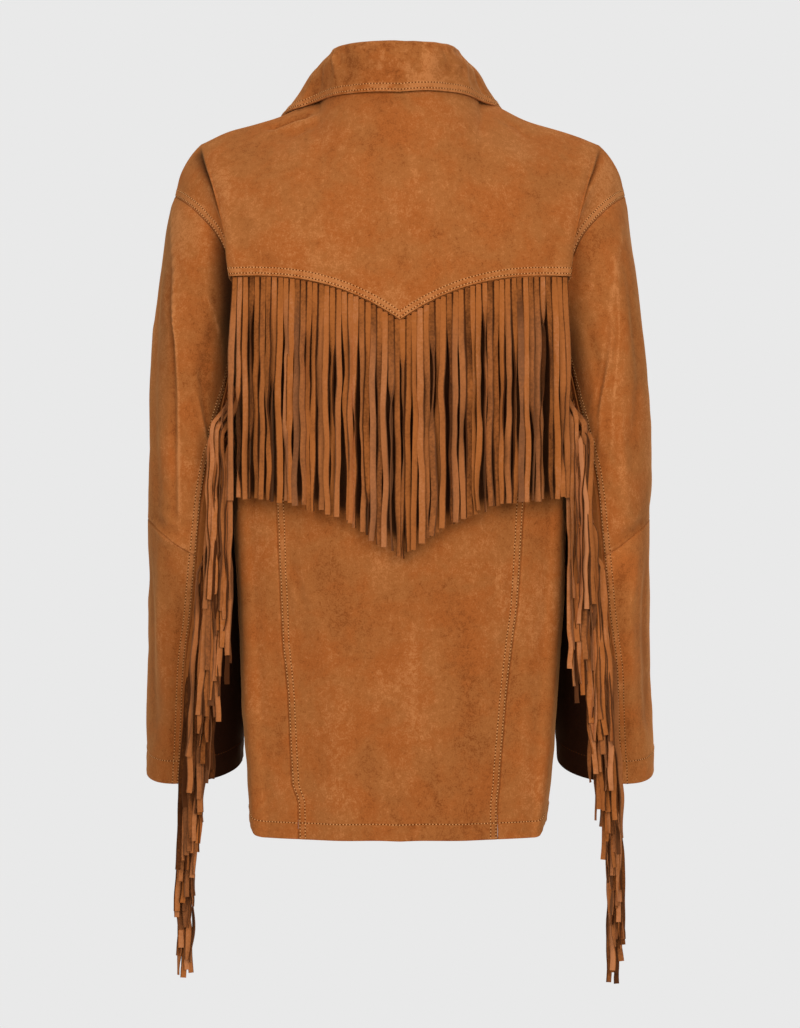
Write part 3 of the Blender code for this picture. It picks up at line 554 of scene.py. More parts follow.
frontCreases = table(
    creaseColumns,
    (-135, -130, -85, -185, 10, -1.8, 6),
    (138, -135, 80, -200, 10, -1.9, -6),
    (-145, -190, -100, -215, 8, 1.4, 4),
    (148, -200, 100, -225, 8, 1.4, -4),
    (-95, -330, -70, -470, 13, 1.8, 6),
    (90, -360, 75, -500, 13, 1.7, -6),
    (-60, -520, -68, -690, 13, -1.9, 4),
    (62, -540, 70, -680, 14, -1.8, -4),
    (-115, -560, -110, -690, 10, 1.6, 3),
    (112, -570, 108, -690, 10, 1.5, 3),
)
# Places on a sleeve are millimetres round it and down it, as angle / 1000 and 0.6 * share.
leftCreases = table(
    creaseColumns,
    (22, 90, 44, 330, 11, -3, 4),
    (84, 56, 113, 54, 3.6, 2.6, 0),
    (84, 62, 113, 60, 4, -1.8, 0),
    (100, 135, 118, 200, 3.5, 2, 3),
    (112, 130, 126, 200, 6, -1, 3),
    (98, 50, 112, 150, 8, -2, 4),
    (20, 120, 30, 300, 12, 1.8, 5),
    (30, 322, 86, 331, 4.5, -2.2, 2),
    (40, 334, 92, 338, 4, 1.7, -2),
    (58, 306, 96, 313, 4, -1.6, 1),
    (52, 360, 62, 520, 10, 2.6, -6),
    (22, 370, 30, 560, 11, -2.6, 5),
    (76, 380, 70, 590, 8, -2.2, 4),
    (-10, 380, -2, 580, 12, 2.2, 5),
    (-60, 100, -50, 300, 13, -2.4, 5),
    (-85, 150, -80, 330, 11, 2, -5),
    (-90, 330, -20, 322, 6, -2.6, 4),
    (-80, 350, -30, 346, 6, 1.8, 3),
    (-60, 400, -55, 570, 12, -2.4, 5),
    (160, 120, 165, 330, 13, -1.6, 4),
    (150, 380, 155, 560, 13, 1.6, 4),
)
leftCreaseRows = table(
    "share angle",
    (0, -6), (0.05, 3), (0.067, 10), (0.098, 27), (0.128, 50), (0.192, 70), (0.3, 80), (0.445, 83), (0.56, 83),
)
# Pale lines on the right sleeve, painted as rubbed nap and as highlight.
rightOuterRubbedAndLitRows = table(
    "share angle",
    (0.068, 12), (0.1, 47), (0.112, 63.5), (0.14, 91), (0.198, 111.5), (0.23, 116),
)
rightInnerRubbedAndLitRows = table(
    "share angle",
    (0.068, 14), (0.1, 44), (0.135, 69.5), (0.2, 81), (0.278, 89), (0.348, 91), (0.45, 92),
)
leftRubbedAndLit = table(creaseColumns, (80, 50, 100, 53, 1.7, 4.4, 0), (98, 53, 128, 57, 1.7, 3.6, 0))
rightCreases = table(
    creaseColumns,
    (26, 46, 48, 56, 3, 2, 0),
    (48, 56, 76, 75, 3, 2.4, 1),
    (56, 58, 82, 80, 3.4, -1.6, 1),
    (74, 72, 104, 150, 3.4, 2.4, 4),
    (82, 72, 111, 150, 3.6, -0.6, 4),
    (103, 140, 108, 210, 4, 1.6, 1),
    (44, 70, 60, 250, 10, -2.4, -4),
    (80, 190, 74, 310, 8, 1.8, 4),
    (100, 60, 104, 160, 8, -2, 4),
    (18, 90, 24, 300, 12, 2, 5),
    (36, 326, 84, 333, 5, -1.8, 2),
    (50, 314, 90, 318, 4, 1.3, -2),
    (56, 365, 64, 540, 10, 2, 6),
    (30, 370, 24, 560, 11, -2.6, 5),
    (82, 360, 74, 580, 8, -1.7, -3),
    (-8, 360, -4, 580, 12, 2.2, 5),
    (-62, 110, -52, 310, 13, -2.4, 5),
    (-88, 150, -82, 320, 11, 2, -5),
    (-88, 326, -24, 330, 6, -2.6, -4),
    (-82, 348, -34, 352, 6, 1.8, 3),
    (-62, 390, -52, 560, 12, -2.4, 5),
    (160, 110, 166, 330, 13, -1.6, 4),
    (152, 390, 150, 560, 13, 1.6, 4),
)


def creased(rows, a, b):
    # The sum over the creases of depth * exp(-(distance / width)^2), fading out at each end.
    total = 0 * a
    for a0, b0, a1, b1, width, depth, bow in zip(*rows.values()):
        long = math.hypot(a1 - a0, b1 - b0)
        along = ((a - a0) * (a1 - a0) + (b - b0) * (b1 - b0)) / long**2
        aside = ((a - a0) * (b1 - b0) - (b - b0) * (a1 - a0)) / long
        t = np.clip(along, 0, 1)
        aside = aside - bow * np.sin(math.pi * t) - 0.25 * width * np.sin(9 * t + 40 * depth)
        fade = ease(-0.16, 0.22, along) * (1 - ease(0.78, 1.16, along))
        wide = width * (0.75 + 0.5 * t)
        total = total + depth * fade * np.exp(-((aside / wide) ** 2))
    return total


def softNoise(a, b, size, seed):
    # Random levels on a grid of squares of that size, with smooth steps between them, from -1 to 1.
    levels = np.random.default_rng(seed).uniform(-1, 1, (64, 64))
    u, v = a / size + 31.3, b / size + 31.7
    i, j = np.floor(u).astype(int), np.floor(v).astype(int)
    s, t = u - i, v - j
    s, t = s * s * (3 - 2 * s), t * t * (3 - 2 * t)
    i, j = i % 64, j % 64
    k, m = (i + 1) % 64, (j + 1) % 64
    low = levels[i, j] * (1 - s) + levels[k, j] * s
    high = levels[i, m] * (1 - s) + levels[k, m] * s
    return low * (1 - t) + high * t


# Shells

sewing = {
    "rollDepth": 0.0007,
    "rollWidth": 0.0011,
    "bandLift": 0.0004,
    "bandRipple": 0.00015,
    "rippleSize": 0.0065,
    "hemLift": 0.0004,
    "stitchPitch": 0.0032,
    "stitchLength": 0.0016,
    "stitchWidth": 0.00090,
    "sink": 0.00012,
    "holeRadius": 0.00070,
    "holeRise": 0.00024,
}
jacket = {}  # name of a piece -> its object
stitches = []  # places, ways along, ways out and painted shade of every stitch


def steps(*stops):  # value, count, value, count, ... value
    runs = [np.linspace(stops[i], stops[i + 2], stops[i + 1] + 1)[:-1] for i in range(0, len(stops) - 2, 2)]
    return np.concatenate([*runs, [stops[-1]]])


def edged(values):  # extra steps beside both ends, where a seam rolls in
    first, last = values[1] - values[0], values[-1] - values[-2]
    near = np.array([0.15, 0.35, 0.6])
    return np.concatenate(
        [values[:1], values[0] + first * near, values[1:-1], values[-1] - last * near[::-1], values[-1:]]
    )


def closedWall(outside, inside, out):
    # Two grids of the same shape, joined round their rim. Its faces point outwards.
    rows, columns = outside.shape[:2]
    number = np.arange(rows * columns).reshape(rows, columns)
    face = np.stack([number[:-1, :-1], number[:-1, 1:], number[1:, 1:], number[1:, :-1]], -1).reshape(-1, 4)
    rim = np.concatenate([number[0, :-1], number[:-1, -1], number[-1, :0:-1], number[:0:-1, 0]])
    after = np.roll(rim, -1)
    sides = np.stack([rim, rim + number.size, after + number.size, after], -1)
    faces = np.concatenate([face, face[:, ::-1] + number.size, sides])
    i, j = rows // 2 - 1, columns // 2
    corner = outside[i, j]
    if (np.cross(outside[i, j + 1] - corner, outside[i + 1, j] - corner) * out[i, j]).sum() < 0:
        faces = faces[:, ::-1]
    return np.concatenate([outside.reshape(-1, 3), inside.reshape(-1, 3)]), faces


def tubeFaces(number, rings, around):
    # The faces of closed tubes, rings of points one after another, with strips of squares across both ends.
    i, k = np.meshgrid(np.arange(rings - 1), np.arange(around), indexing="ij")
    after = (k + 1) % around
    sides = np.stack([(i + 1) * around + k, (i + 1) * around + after, i * around + after, i * around + k], -1)
    k = np.arange(around // 2 - 1)
    cap = np.stack([k + 1, around - 2 - k, around - 1 - k, k], -1)
    base = np.concatenate([sides.reshape(-1, 4), cap, cap[:, ::-1] + (rings - 1) * around])
    return (np.arange(number)[:, None, None] * rings * around + base).reshape(-1, 4)


def edgeDistance(points):  # how far each point of a grid is from its four edges, along the grid's own lines
    across, down = running(points, 1), running(points, 0)
    return {"low": across, "high": across[:, -1:] - across, "first": down, "last": down[-1:] - down}


def gridNormals(points, like):
    out = unit(np.cross(np.gradient(points, axis=1), np.gradient(points, axis=0)))
    return out * np.where((out * like).sum(-1, keepdims=True) < 0, -1.0, 1.0)


def newMesh(name, points, faces, finish, slot, node="", **fields):
    # A finished piece, and the values that its material reads at each point.
    mesh = bpy.data.meshes.new(name)
    mesh.from_pydata(points.reshape(-1, 3).tolist(), [], faces.tolist())
    mesh.materials.append(finish)
    mesh.polygons.foreach_set("use_smooth", np.ones(len(mesh.polygons), bool))
    mesh.set_sharp_from_angle(angle=math.radians(55))
    for field, values in fields.items():
        values = np.ascontiguousarray(values, np.float32).ravel()
        mesh.attributes.new(field, "FLOAT", "POINT").data.foreach_set("value", values)
    made = bpy.data.objects.new(name, mesh)
    bpy.context.scene.collection.objects.link(made)
    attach(made, "root")
    if node:
        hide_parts(node)
    jacket[name] = made
    return made


def shell(name, node, points, out, fold, finish, hemRow, seams="", bands="", hems="", hidden=0.0, rubbedAndLit=0.0):
    # A closed wall: the cut surface moved out by the folds, rolled in at its seams and lifted along its stitched
    # bands, with a second face one leather thickness inside it.
    distance = edgeDistance(points)
    far = np.full(points.shape[:2], 0.05)
    seam, stitched, hem = (
        np.minimum.reduce([far, *(distance[edge] for edge in edges.split())]) for edges in (seams, bands, hems)
    )
    low, high = (row / 1000 for row in suedeLook["rows"])
    ripple = softNoise(points[..., 0] + points[..., 1], points[..., 2], sewing["rippleSize"], len(name))
    band = ease(0.0008, low, stitched) * (1 - ease(high, high + 0.002, stitched))
    lift = band * (sewing["bandLift"] + sewing["bandRipple"] * ripple)
    lift = lift - sewing["rollDepth"] * np.exp(-((seam / sewing["rollWidth"]) ** 2))
    hemBand = ease(0, 0.001, hem) * (1 - ease(hemRow - 0.001, hemRow + 0.0025, hem))
    lift = lift + hemBand * sewing["hemLift"] * (1 + ripple)
    outside = points + out * (fold + lift)[..., None]
    out = gridNormals(outside, out)
    # The painted shade mask: how far the painted shadow colour covers each point.
    hidden = hidden + 0 * fold
    # The fold field paints ridges paler and troughs darker; the painted pale lines of rubbed nap and highlight are
    # added to it.
    fields = {"seam": stitched, "crack": seam, "hem": hem - hemRow, "fold": fold + rubbedAndLit, "hidden": hidden / 1000}
    fields = {field: np.tile(1000 * values.ravel(), 2) for field, values in fields.items()}
    made = newMesh(name, *closedWall(outside, outside - out * cut["leather"], out), finish, "suede", node, **fields)
    for edge in bands.split():
        sewAlong(outside, out, hidden, edge, low)
        sewAlong(outside, out, hidden, edge, high)
    for edge in hems.split():
        sewAlong(outside, out, hidden, edge, hemRow)
    cells = np.cross(points[1:, :-1] - points[:-1, :-1], points[:-1, 1:] - points[:-1, :-1])
    flatArea = np.linalg.norm(cells, axis=-1).sum()
    wide, long = distance["low"][:, -1].max(), distance["first"][-1].max()
    fit = max(1.0, flatArea / (wide * long) * 1.001)
    wide * fit


def sewAlong(outside, out, hidden, edge, distance):
    # One row of stitches, that far from a grid's edge, at even steps along it.
    if edge in ("first", "last"):
        outside, out, hidden = outside.transpose(1, 0, 2), out.transpose(1, 0, 2), hidden.T
    if edge in ("high", "last"):
        outside, out, hidden = outside[:, ::-1], out[:, ::-1], hidden[:, ::-1]
    along = running(outside, 1)
    i = np.clip((along < distance).sum(axis=1) - 1, 0, along.shape[1] - 2)
    r = np.arange(len(outside))
    t = ((distance - along[r, i]) / (along[r, i + 1] - along[r, i]))[:, None]
    line, away = (part[r, i] * (1 - t) + part[r, i + 1] * t for part in (outside, out))
    length = running(line, 0)
    at = np.arange(0.002, length[-1] - 0.002, sewing["stitchPitch"])
    place, ahead, behind = (alongLine(at + more, length, line) for more in (0, 0.001, -0.001))
    away = unit(alongLine(at, length, away))
    # The stitches take the painted shade of the leather beside them.
    hidden = np.interp(at, length, hidden[r, i])
    stitches.append((place - away * sewing["sink"], unit(ahead - behind), away, hidden))


def makeStitches(finish, holeFinish):
    # Every stitch is a short bead of thread: a ring of four points at each end and at each side of its middle.
    place, along, away, hidden = (np.concatenate(part) for part in zip(*stitches))
    aside = np.cross(along, away)
    number, width = len(place), sewing["stitchWidth"]
    shake = np.random.default_rng(5).uniform(-1, 1, (number, 3, 1))
    along = unit(along + aside * shake[:, 0] * 0.10)
    place = place + aside * shake[:, 1] * 0.00010
    rings = []
    for where, thick, rise in ((-0.5, 0.35, -0.5), (-0.22, 1.0, 0.3), (0.22, 1.0, 0.3), (0.5, 0.35, -0.5)):
        middle = place + along * sewing["stitchLength"] * where + away * width * rise * 0.5
        rings.append(np.stack([middle + way * width / 2 * thick for way in (aside, away, -aside, -away)], 1))
    points = np.stack(rings, 1)
    newMesh("topstitching", points, tubeFaces(number, 4, 4), finish, "suede", hidden=np.repeat(hidden, 16))
    # Needle holes between them: six-sided pegs set in the leather, their tops just above it, painted dark as the shade
    # inside a hole.
    turn = np.linspace(0, 2 * math.pi, 6, endpoint=False)[None, :, None]
    middle = (place + along * sewing["stitchPitch"] / 2)[:, None, :]
    rim = (np.cos(turn) * along[:, None, :] + np.sin(turn) * aside[:, None, :]) * sewing["holeRadius"]
    points = np.stack([middle + rim + away[:, None, :] * rise for rise in (-0.0004, sewing["holeRise"])], 1)
    newMesh("needleHoles", points, tubeFaces(number, 2, 6), holeFinish, "suede")
    print("stitches", number)


# The body

bodyLook = {"fullSide": 0.026, "wideSide": 0.0045, "longHem": 0.0060, "underFringe": 0.214, "hemRow": 0.016}


def bodyFold(rows, across, height, points):
    # Creases and soft waves. They fade out at the side seams, the shoulders and the lapped edges.
    a, x, z = np.abs(across), points[..., 0], points[..., 2]
    if rows is backRows:
        creases, wave, seed, fade = backCreases, 0.0011, 3, 1 - 0.8 * ease(0.70, 0.733, height)
    else:
        creases, wave, seed, fade = frontCreases, 0.0012, 7, (1 - ease(0.66, 0.72, height)) * ease(0.12, 0.3, a)
    fold = creased(creases, x, z) + wave * softNoise(x, z, 0.055, seed) + 0.0004 * softNoise(x, z, 0.018, seed + 1)
    return fold * (1 - ease(1.75, 1.98, a)) * fade


def fuller(rows, across, height, points, side):
    # The back is broad and flat to its sides: below the underarm it stands out there by up to 26 mm, none at the
    # seam, and is up to 4.5 mm wider, but for the right side's hem. Its hem hangs lower than the front's.
    if rows is frontRows:
        return points
    a, low = np.abs(across), 1 - ease(0.33, 0.44, height)
    more = ease(0.62, 1.4, a) * (1 - ease(1.62, 2, a)) * low
    wider = ease(0.98, 1.32, a) * (1 - ease(1.42, 1.95, a)) * low
    wider = wider * np.where(across * side > 0, ease(-0.06, 0.16, height) * 1.35 - 0.35, 1) * np.sign(across)
    longer = (0.75 + 0.25 * ease(0.1, 0.5, a)) * (1 - ease(1.2, 1.6, a)) * (1 - ease(0, 0.08, height))
    moves = bodyLook["wideSide"] * wider, -bodyLook["fullSide"] * more, -bodyLook["longHem"] * longer
    return points + np.stack(moves, -1)


def underFringe(points):
    # How far a place on the back panels lies under the fringe, from 0 to 1: there the panels get painted shadow.
    a, h = np.linspace(0, 1.9, 40), np.full(40, cut["yokeHeight"])
    root = body(backRows, a, h)
    level = np.interp(np.abs(points[..., 0]), root[:, 0], root[:, 2]) - bodyLook["underFringe"]
    return ease(-0.004, 0.008, points[..., 2] - level)


def hill(x, middle, width):  # 1 at the middle, and almost none at twice the width
    return np.exp(-(((x - middle) / width) ** 2))


def rounder(points):  # the shoulders' ends stand a little higher, and the slopes inside them a little lower
    x, z = points[..., 0], points[..., 2]
    near = 0.0042 * hill(x, -0.175, 0.024) + 0.0018 * hill(x, 0.180, 0.020)
    near = near - 0.0020 * hill(x, -0.118, 0.018) - 0.0034 * hill(x, 0.124, 0.024)
    z = z + near * ease(-0.085, -0.035, z)
    near = hill(np.abs(x), 0.207, 0.013) * ease(-0.100, -0.060, z)
    return np.stack([x + np.sign(x) * 0.0012 * near, points[..., 1], z + 0.0014 * near], -1)


def mirrored(points, side):
    return points * np.array([side, 1.0, 1.0])


def bodyShell(name, node, rows, across, height, finish, lift=0.0, side=1, **edges):
    points, out = body(rows, across, height), bodyOut(rows, across, height)
    points = rounder(fuller(rows, across, height, points, side))
    if rows is backRows:
        above = ease(0.38, 0.45, height)[..., None]
        out = unit(out * above + gridNormals(points, out) * (1 - above))
    points, out = mirrored(points, side), mirrored(out, side)
    points = points + out * (lift + 0 * across)[..., None]
    fold = bodyFold(rows, across, height, points)
    rubbedAndLit, hidden = 0.0, 0.0
    # Painted shadow on the back panels under the fringe.
    if name == "centrePanel" or "sidePanel" in name:
        hidden = underFringe(points) * 0.9
    if name == "yoke":
        # The shoulder's fold: a puffed edge with a groove beside it, from the fringe almost to the shoulder line.
        a, along, below = np.abs(across), 1 - ease(0.69, 0.733, height), 1 - ease(0.712, 0.734, height)
        fold = fold + along * (0.0018 * hill(a, 0.955, 0.05) - 0.0040 * hill(a, 1.09, 0.06))
        # A pool of painted light on the right shoulder cap, outside the fold.
        rubbedAndLit = 0.0034 * ease(1.06, 1.25, across) * below
        # Painted shadow just outside the shoulder's fold, fainter on the right.
        nearFold = ease(1.0, 1.03, a) * (1 - ease(1.05, np.where(across > 0, 1.22, 1.38), a)) ** 1.5
        hidden = np.where(across > 0, 0.35, 0.85) * nearFold * below
    shell(name, node, points, out, fold, finish, bodyLook["hemRow"], hidden=hidden, rubbedAndLit=rubbedAndLit, **edges)


def makeBody():
    # Yoke: one piece from armhole to armhole, its pointed lower edge lying on the fringe.
    half = np.delete(edged(steps(0, 46, 0.95, 16, 1.12, 20, 2)), [1, 2, 3])
    columns = np.concatenate([-half[:0:-1], half])
    heights = edged(steps(cut["yokeHeight"], 44, 0.66, 26, cut["top"]))
    height = np.repeat(heights[:, None], len(columns), axis=1)
    edgeGap = acrossGap(backRows, 0 * heights + 1.95, heights, cut["gap"])[:, None]
    across = columns - edgeGap * np.clip(columns, -1, 1) * (np.abs(columns) > 1.6)
    onFringe = (1 - ease(0.016, 0.08, height - cut["yokeHeight"])) * (1 - ease(1.3, 1.9, np.abs(across)))
    finish, edges = suede("yokeSuede", 0.955), {"bands": "low high first", "seams": "low high last"}
    bodyShell("yoke", "back_yoke", backRows, across, height, finish, cut["yokeLift"] * onFringe, **edges)
    # Panels: a centre and two sides, up to 12 mm under the yoke.
    heights = edged(steps(0, 108, 0.36, 44, cut["yokeHeight"] + cut["yokeLap"]))
    left, right = readAt(panelRows, "height", heights, "left right")
    halfGap = acrossGap(backRows, right, heights, cut["gap"] / 2)
    t = edged(np.linspace(0, 1, 80))[None, :]
    across = (halfGap - left)[:, None] + (left + right - 2 * halfGap)[:, None] * t
    height = np.repeat(heights[:, None], across.shape[1], axis=1)
    edges = {"bands": "low high", "seams": "low high", "hems": "first"}
    bodyShell("centrePanel", "back_centre", backRows, across, height, suede("centreSuede", 0.925, 0.13), **edges)
    t = edged(steps(0, 14, 0.4, 34, 1))[None, :]
    edgeGap = acrossGap(backRows, 0 * heights + 1.95, heights, cut["gap"])
    finish, edges = suede("sideSuede", 0.975, 0.13), {"seams": "low high", "hems": "first"}
    for side, word, seam in ((-1, "left", left), (1, "right", right)):
        low, high = (seam + halfGap)[:, None], (2 - edgeGap)[:, None]
        across = low + (high - low) * t
        height = np.repeat(heights[:, None], across.shape[1], axis=1)
        height[-1] -= (cut["yokeLap"] + cut["gap"]) * ease(1.0, 1.1, across[-1])
        height[-4:-1] = np.minimum(height[-4:-1], height[-1] - np.array([[0.003], [0.002], [0.001]]))
        bodyShell("sidePanel." + word, "back_side_" + word, backRows, across, height, finish, side=side, **edges)
    # Fronts: each laps past the centre, the right one on top.
    heights = edged(steps(0, 108, 0.36, 60, 0.62, 34, cut["top"]))
    crestX = smooth(frontRows["height"], frontRows["crestX"], heights)
    lap = (cut["frontLap"] / crestX * (1 - 0.5 * ease(0.6, cut["top"], heights)))[:, None]
    edgeGap = acrossGap(frontRows, 0 * heights + 1.95, heights, cut["gap"])[:, None]
    t = edged(steps(0, 9, 0.18, 40, 1.0, 24, 2.0))[None, :]
    across = np.where(t < 0.18, -lap + (0.18 + lap) * t / 0.18, t) - edgeGap * (t > 1.6)
    height = np.repeat(heights[:, None], across.shape[1], axis=1)
    finish, edges = suede("frontSuede", 0.97), {"bands": "low", "seams": "high last", "hems": "first"}
    onTop = (cut["leather"] + 0.0009) * (1 - ease(0.14, 0.4, across))
    for side, word, lift in ((-1, "left", 0.0), (1, "right", onTop)):
        bodyShell("front." + word, "front_" + word, frontRows, across, height, finish, lift, side, **edges)
    print("body made")


# The sleeves

sleeveLook = {
    "tones": {"upperSleeve": (0.94, 0.98), "lowerSleeve": (0.90, 1.20), "underSleeve": (0.80, 0.86)},  # left, right; they differ as painted light and shade, and the undersleeve is darker as painted shade
    "fullness": ((0.0030, 0.01, 0.08, 0.25, 0.5), (-0.0026, 0.45, 0.55, 0.8, 0.95)),  # how much, and where
    "cuffRow": 0.024,
    "cuffTilt": 0.0034,
    "elbow": 0.57,  # about where the elbow seam runs
    "elbowGap": 0.0002,
    "clear": 0.0022,
    "pull": 0.009,
}


def fromLine(rows, angle, share):  # millimetres from a line down the sleeve. One degree is about one millimetre
    line = smooth(rows["share"], rows["angle"], share)
    slope = (smooth(rows["share"], rows["angle"], share + 0.005) - line) / 3
    return (angle - line) / np.sqrt(1 + slope**2)


def between(x, begin, full, falling, gone):
    return ease(begin, full, x) * (1 - ease(falling, gone, x))


def rubbedAndLitLines(rows, angle, share):
    # Creases painted pale, as rubbed nap and as painted highlight: no more than a colour.
    if rows is leftCreases:
        line = hill(fromLine(leftCreaseRows, angle, share), 0, 1.9) * between(share, 0.03, 0.07, 0.42, 0.6)
        return 0.0036 * line + creased(leftRubbedAndLit, angle / 1000, share * 0.6)
    outer = hill(fromLine(rightOuterRubbedAndLitRows, angle, share), 0, 1.8) * between(share, 0.066, 0.08, 0.17, 0.23)
    inner = hill(fromLine(rightInnerRubbedAndLitRows, angle, share), 0, 1.8) * between(share, 0.09, 0.13, 0.33, 0.42)
    return 0.0042 * outer + 0.0036 * inner


def longCrease(angle, share):
    # The left upper sleeve's crease: a narrow ridge with a groove outside it.
    distance = fromLine(leftCreaseRows, angle, share)
    there = between(share, 0.08, 0.13, 0.44, 0.56) * (0.8 + 0.2 * np.sin(40 * share))
    return there * (0.0022 * hill(distance, 0, 2.6) - 0.0030 * hill(distance, -7, 4.5))


def sleeveFold(creases, angle, share):
    isLeft = creases is leftCreases
    a = np.mod(angle + 120, 360) - 120
    fold = creased(creases, a / 1000, share * 0.6)
    around = np.radians(angle)
    turnA, turnB, seed = np.cos(around) * 0.06, np.sin(around) * 0.06, 11 if isLeft else 21
    fold = fold + 0.0013 * softNoise(turnA + share * 0.13, turnB + share * 0.6, 0.048, seed)
    fold = fold + 0.0005 * softNoise(turnA + share * 0.2, turnB + share * 0.6, 0.017, seed + 1)
    fold = fold * ease(0.01, 0.10, share) * (1 - 0.6 * ease(0.9, 1.0, share))
    most, *places = sleeveLook["fullness"][not isLeft]
    fold = fold + most * between(share, *places) * np.maximum(np.cos(around), 0)
    return fold + (longCrease(a, share) if isLeft else 0)


def pressed(points, angle, share):
    # Below the armhole the inner side is drawn towards the body's side wall, in front of the side seam, by up to 9 mm:
    # the wall is at x = edge - 0.018 (y / 0.066)^1.9, and the sleeve stays 2.2 mm from it.
    edge = smooth(frontRows["height"], frontRows["edgeX"], points[..., 2] + 0.706)
    wall = edge - 0.018 * (np.abs(points[..., 1]) / 0.066) ** 1.9
    where = between(angle, 150, 175, 222, 255) * between(share, 0.16, 0.27, 0.84, 0.97)
    pull = np.clip(points[..., 0] - wall - sleeveLook["clear"], 0, sleeveLook["pull"]) * where
    return points - np.array([1.0, 0, 0]) * pull[..., None]


def lapped(points, out):
    # The sleeve's first rows pass under the body's edge: back by 3 mm, then level with it, and up to the surface.
    points = points.copy()
    ahead = unit(points[5] - points[0])
    for row, back, down in ((0, 0.003, 0.0023), (1, 0.0012, 0.0021), (2, 0.0, 0.0011)):
        points[row] -= ahead * back + out[row] * down
    return points


def shadedSleeve(name, side, creases, angle, share, x, z, fromSeam):
    # Where a sleeve gets painted shade, from 0 to 1, and where pale lines are painted on it, as rubbed nap and as
    # highlight.
    if name == "lowerSleeve":
        return 0.0, 0.0
    if name == "underSleeve":  # painted shade on its side that faces the body
        return ease(3, 22, fromSeam) * (1 - ease(205, 245, angle)) * 0.96, 0.0
    # Near the armpit the upper sleeve is tucked behind the body, and painted dark there as shade.
    hidden = 0.9 * (1 - ease(0, 12, np.abs(fringeSeam(share) - angle))) * (1 - ease(0.02, 0.10, share))
    if side < 0:  # painted shade on the strip outside the long crease, which is turned away
        outside = smooth(leftCreaseRows["share"], leftCreaseRows["angle"], share) - angle
        # Painted near-black shadow on its inner, upper part, beside the body.
        hidden = np.minimum(hidden + 0.94 * ease(-0.191, -0.166, x) * ease(-0.285, -0.205, z), 0.94)
        hidden = hidden + 0.34 * between(outside, 0, 2.0, 16, 62) * between(share, 0.02, 0.07, 0.18, 0.42)
    return hidden, rubbedAndLitLines(creases, np.mod(angle + 120, 360) - 120, share)


def makeSleeves():
    upper, lower = edged(steps(0, 62, 1))[:, None], edged(steps(0, 72, 1))[:, None]
    whole = np.concatenate([upper[:-1], 1 + lower])
    gap = sleeveLook["elbowGap"]
    lowerRows = lambda elbow: elbow + gap + (1 - elbow - gap) * lower
    wholeRows = lambda elbow: np.where(whole < 1, whole * elbow, elbow + (1 - elbow) * (whole - 1))
    above, under = (frontSeam, fringeSeam), (fringeSeam, lambda share: frontSeam(share) + 360)
    sewn, plainEdges = {"bands": "high", "seams": "low high first"}, {"seams": "low high first", "hems": "last"}
    for name, node, (begin, end), rows, columns, edges in (
        ("upperSleeve", "sleeve_upper_", above, lambda elbow: upper * elbow, 190, sewn),
        ("lowerSleeve", "sleeve_lower_", above, lowerRows, 76, {**sewn, "hems": "last"}),
        ("underSleeve", "undersleeve_", under, wholeRows, 60, plainEdges),
    ):
        even = edged(np.linspace(0, 1, columns))[None, :]
        elbow = 0 * even + sleeveLook["elbow"]
        for _ in range(5):  # the elbow seam's place depends on the angles, and they on it
            share = rows(elbow)
            low, high = begin(share[:, :1]), end(share[:, -1:])
            angle = low + (high - low) * even
            nearest = np.abs(share - elbow).argmin(axis=0)
            elbow = smooth(elbowRows["angle"], elbowRows["share"], angle[nearest, np.arange(even.size)])[None, :]
        angle = angle + gapAngle(angle, share, cut["gap"] / 2) * (1 - 2 * even)
        for side, word, creases in ((-1, "left", leftCreases), (1, "right", rightCreases)):
            points, out = sleeve(angle, share), mirrored(sleeveOut(angle, share), side)
            fold = sleeveFold(creases, angle, share)
            if name == "underSleeve":  # it stays clear of the body
                inner = between(angle, 140, 170, 230, 250)
                fold = np.minimum(fold, 0.0025) * (1 - inner * 0.85)
                points = pressed(points, angle, share)
            points = mirrored(points, side)
            x, z = points[..., 0], points[..., 2].copy()
            hidden, rubbedAndLit = shadedSleeve(name, side, creases, angle, share, x, z, angle - low)
            points[..., 2] += sleeveLook["cuffTilt"] * ease(0.86, 1.0, share) * np.cos(np.radians(angle))
            sheen = 0.08 if name == "underSleeve" else 0.34
            finish = suede(f"{name}Suede.{word}", sleeveLook["tones"][name][side > 0], sheen=sheen)
            points = lapped(points, out)
            row, marks = sleeveLook["cuffRow"], {"hidden": hidden, "rubbedAndLit": rubbedAndLit}
            shell(f"{name}.{word}", node + word, points, out, fold, finish, row, **marks, **edges)
    print("sleeves made")


# The collar

collarLook = {"end": 0.985, "fold": 0.0042, "inset": 0.0033, "clear": 0.0027, "columns": 110}


def curveThrough(points, at):
    # Cubic pieces through the points along axis 1. The slope at each is half the step between its neighbours.
    slopes = np.gradient(points, axis=1)
    i = np.clip(at.astype(int), 0, points.shape[1] - 2)
    t = np.broadcast_to(at - i, (len(points), len(at)))
    return hermite(t, points[:, i], slopes[:, i], points[:, i + 1], slopes[:, i + 1])


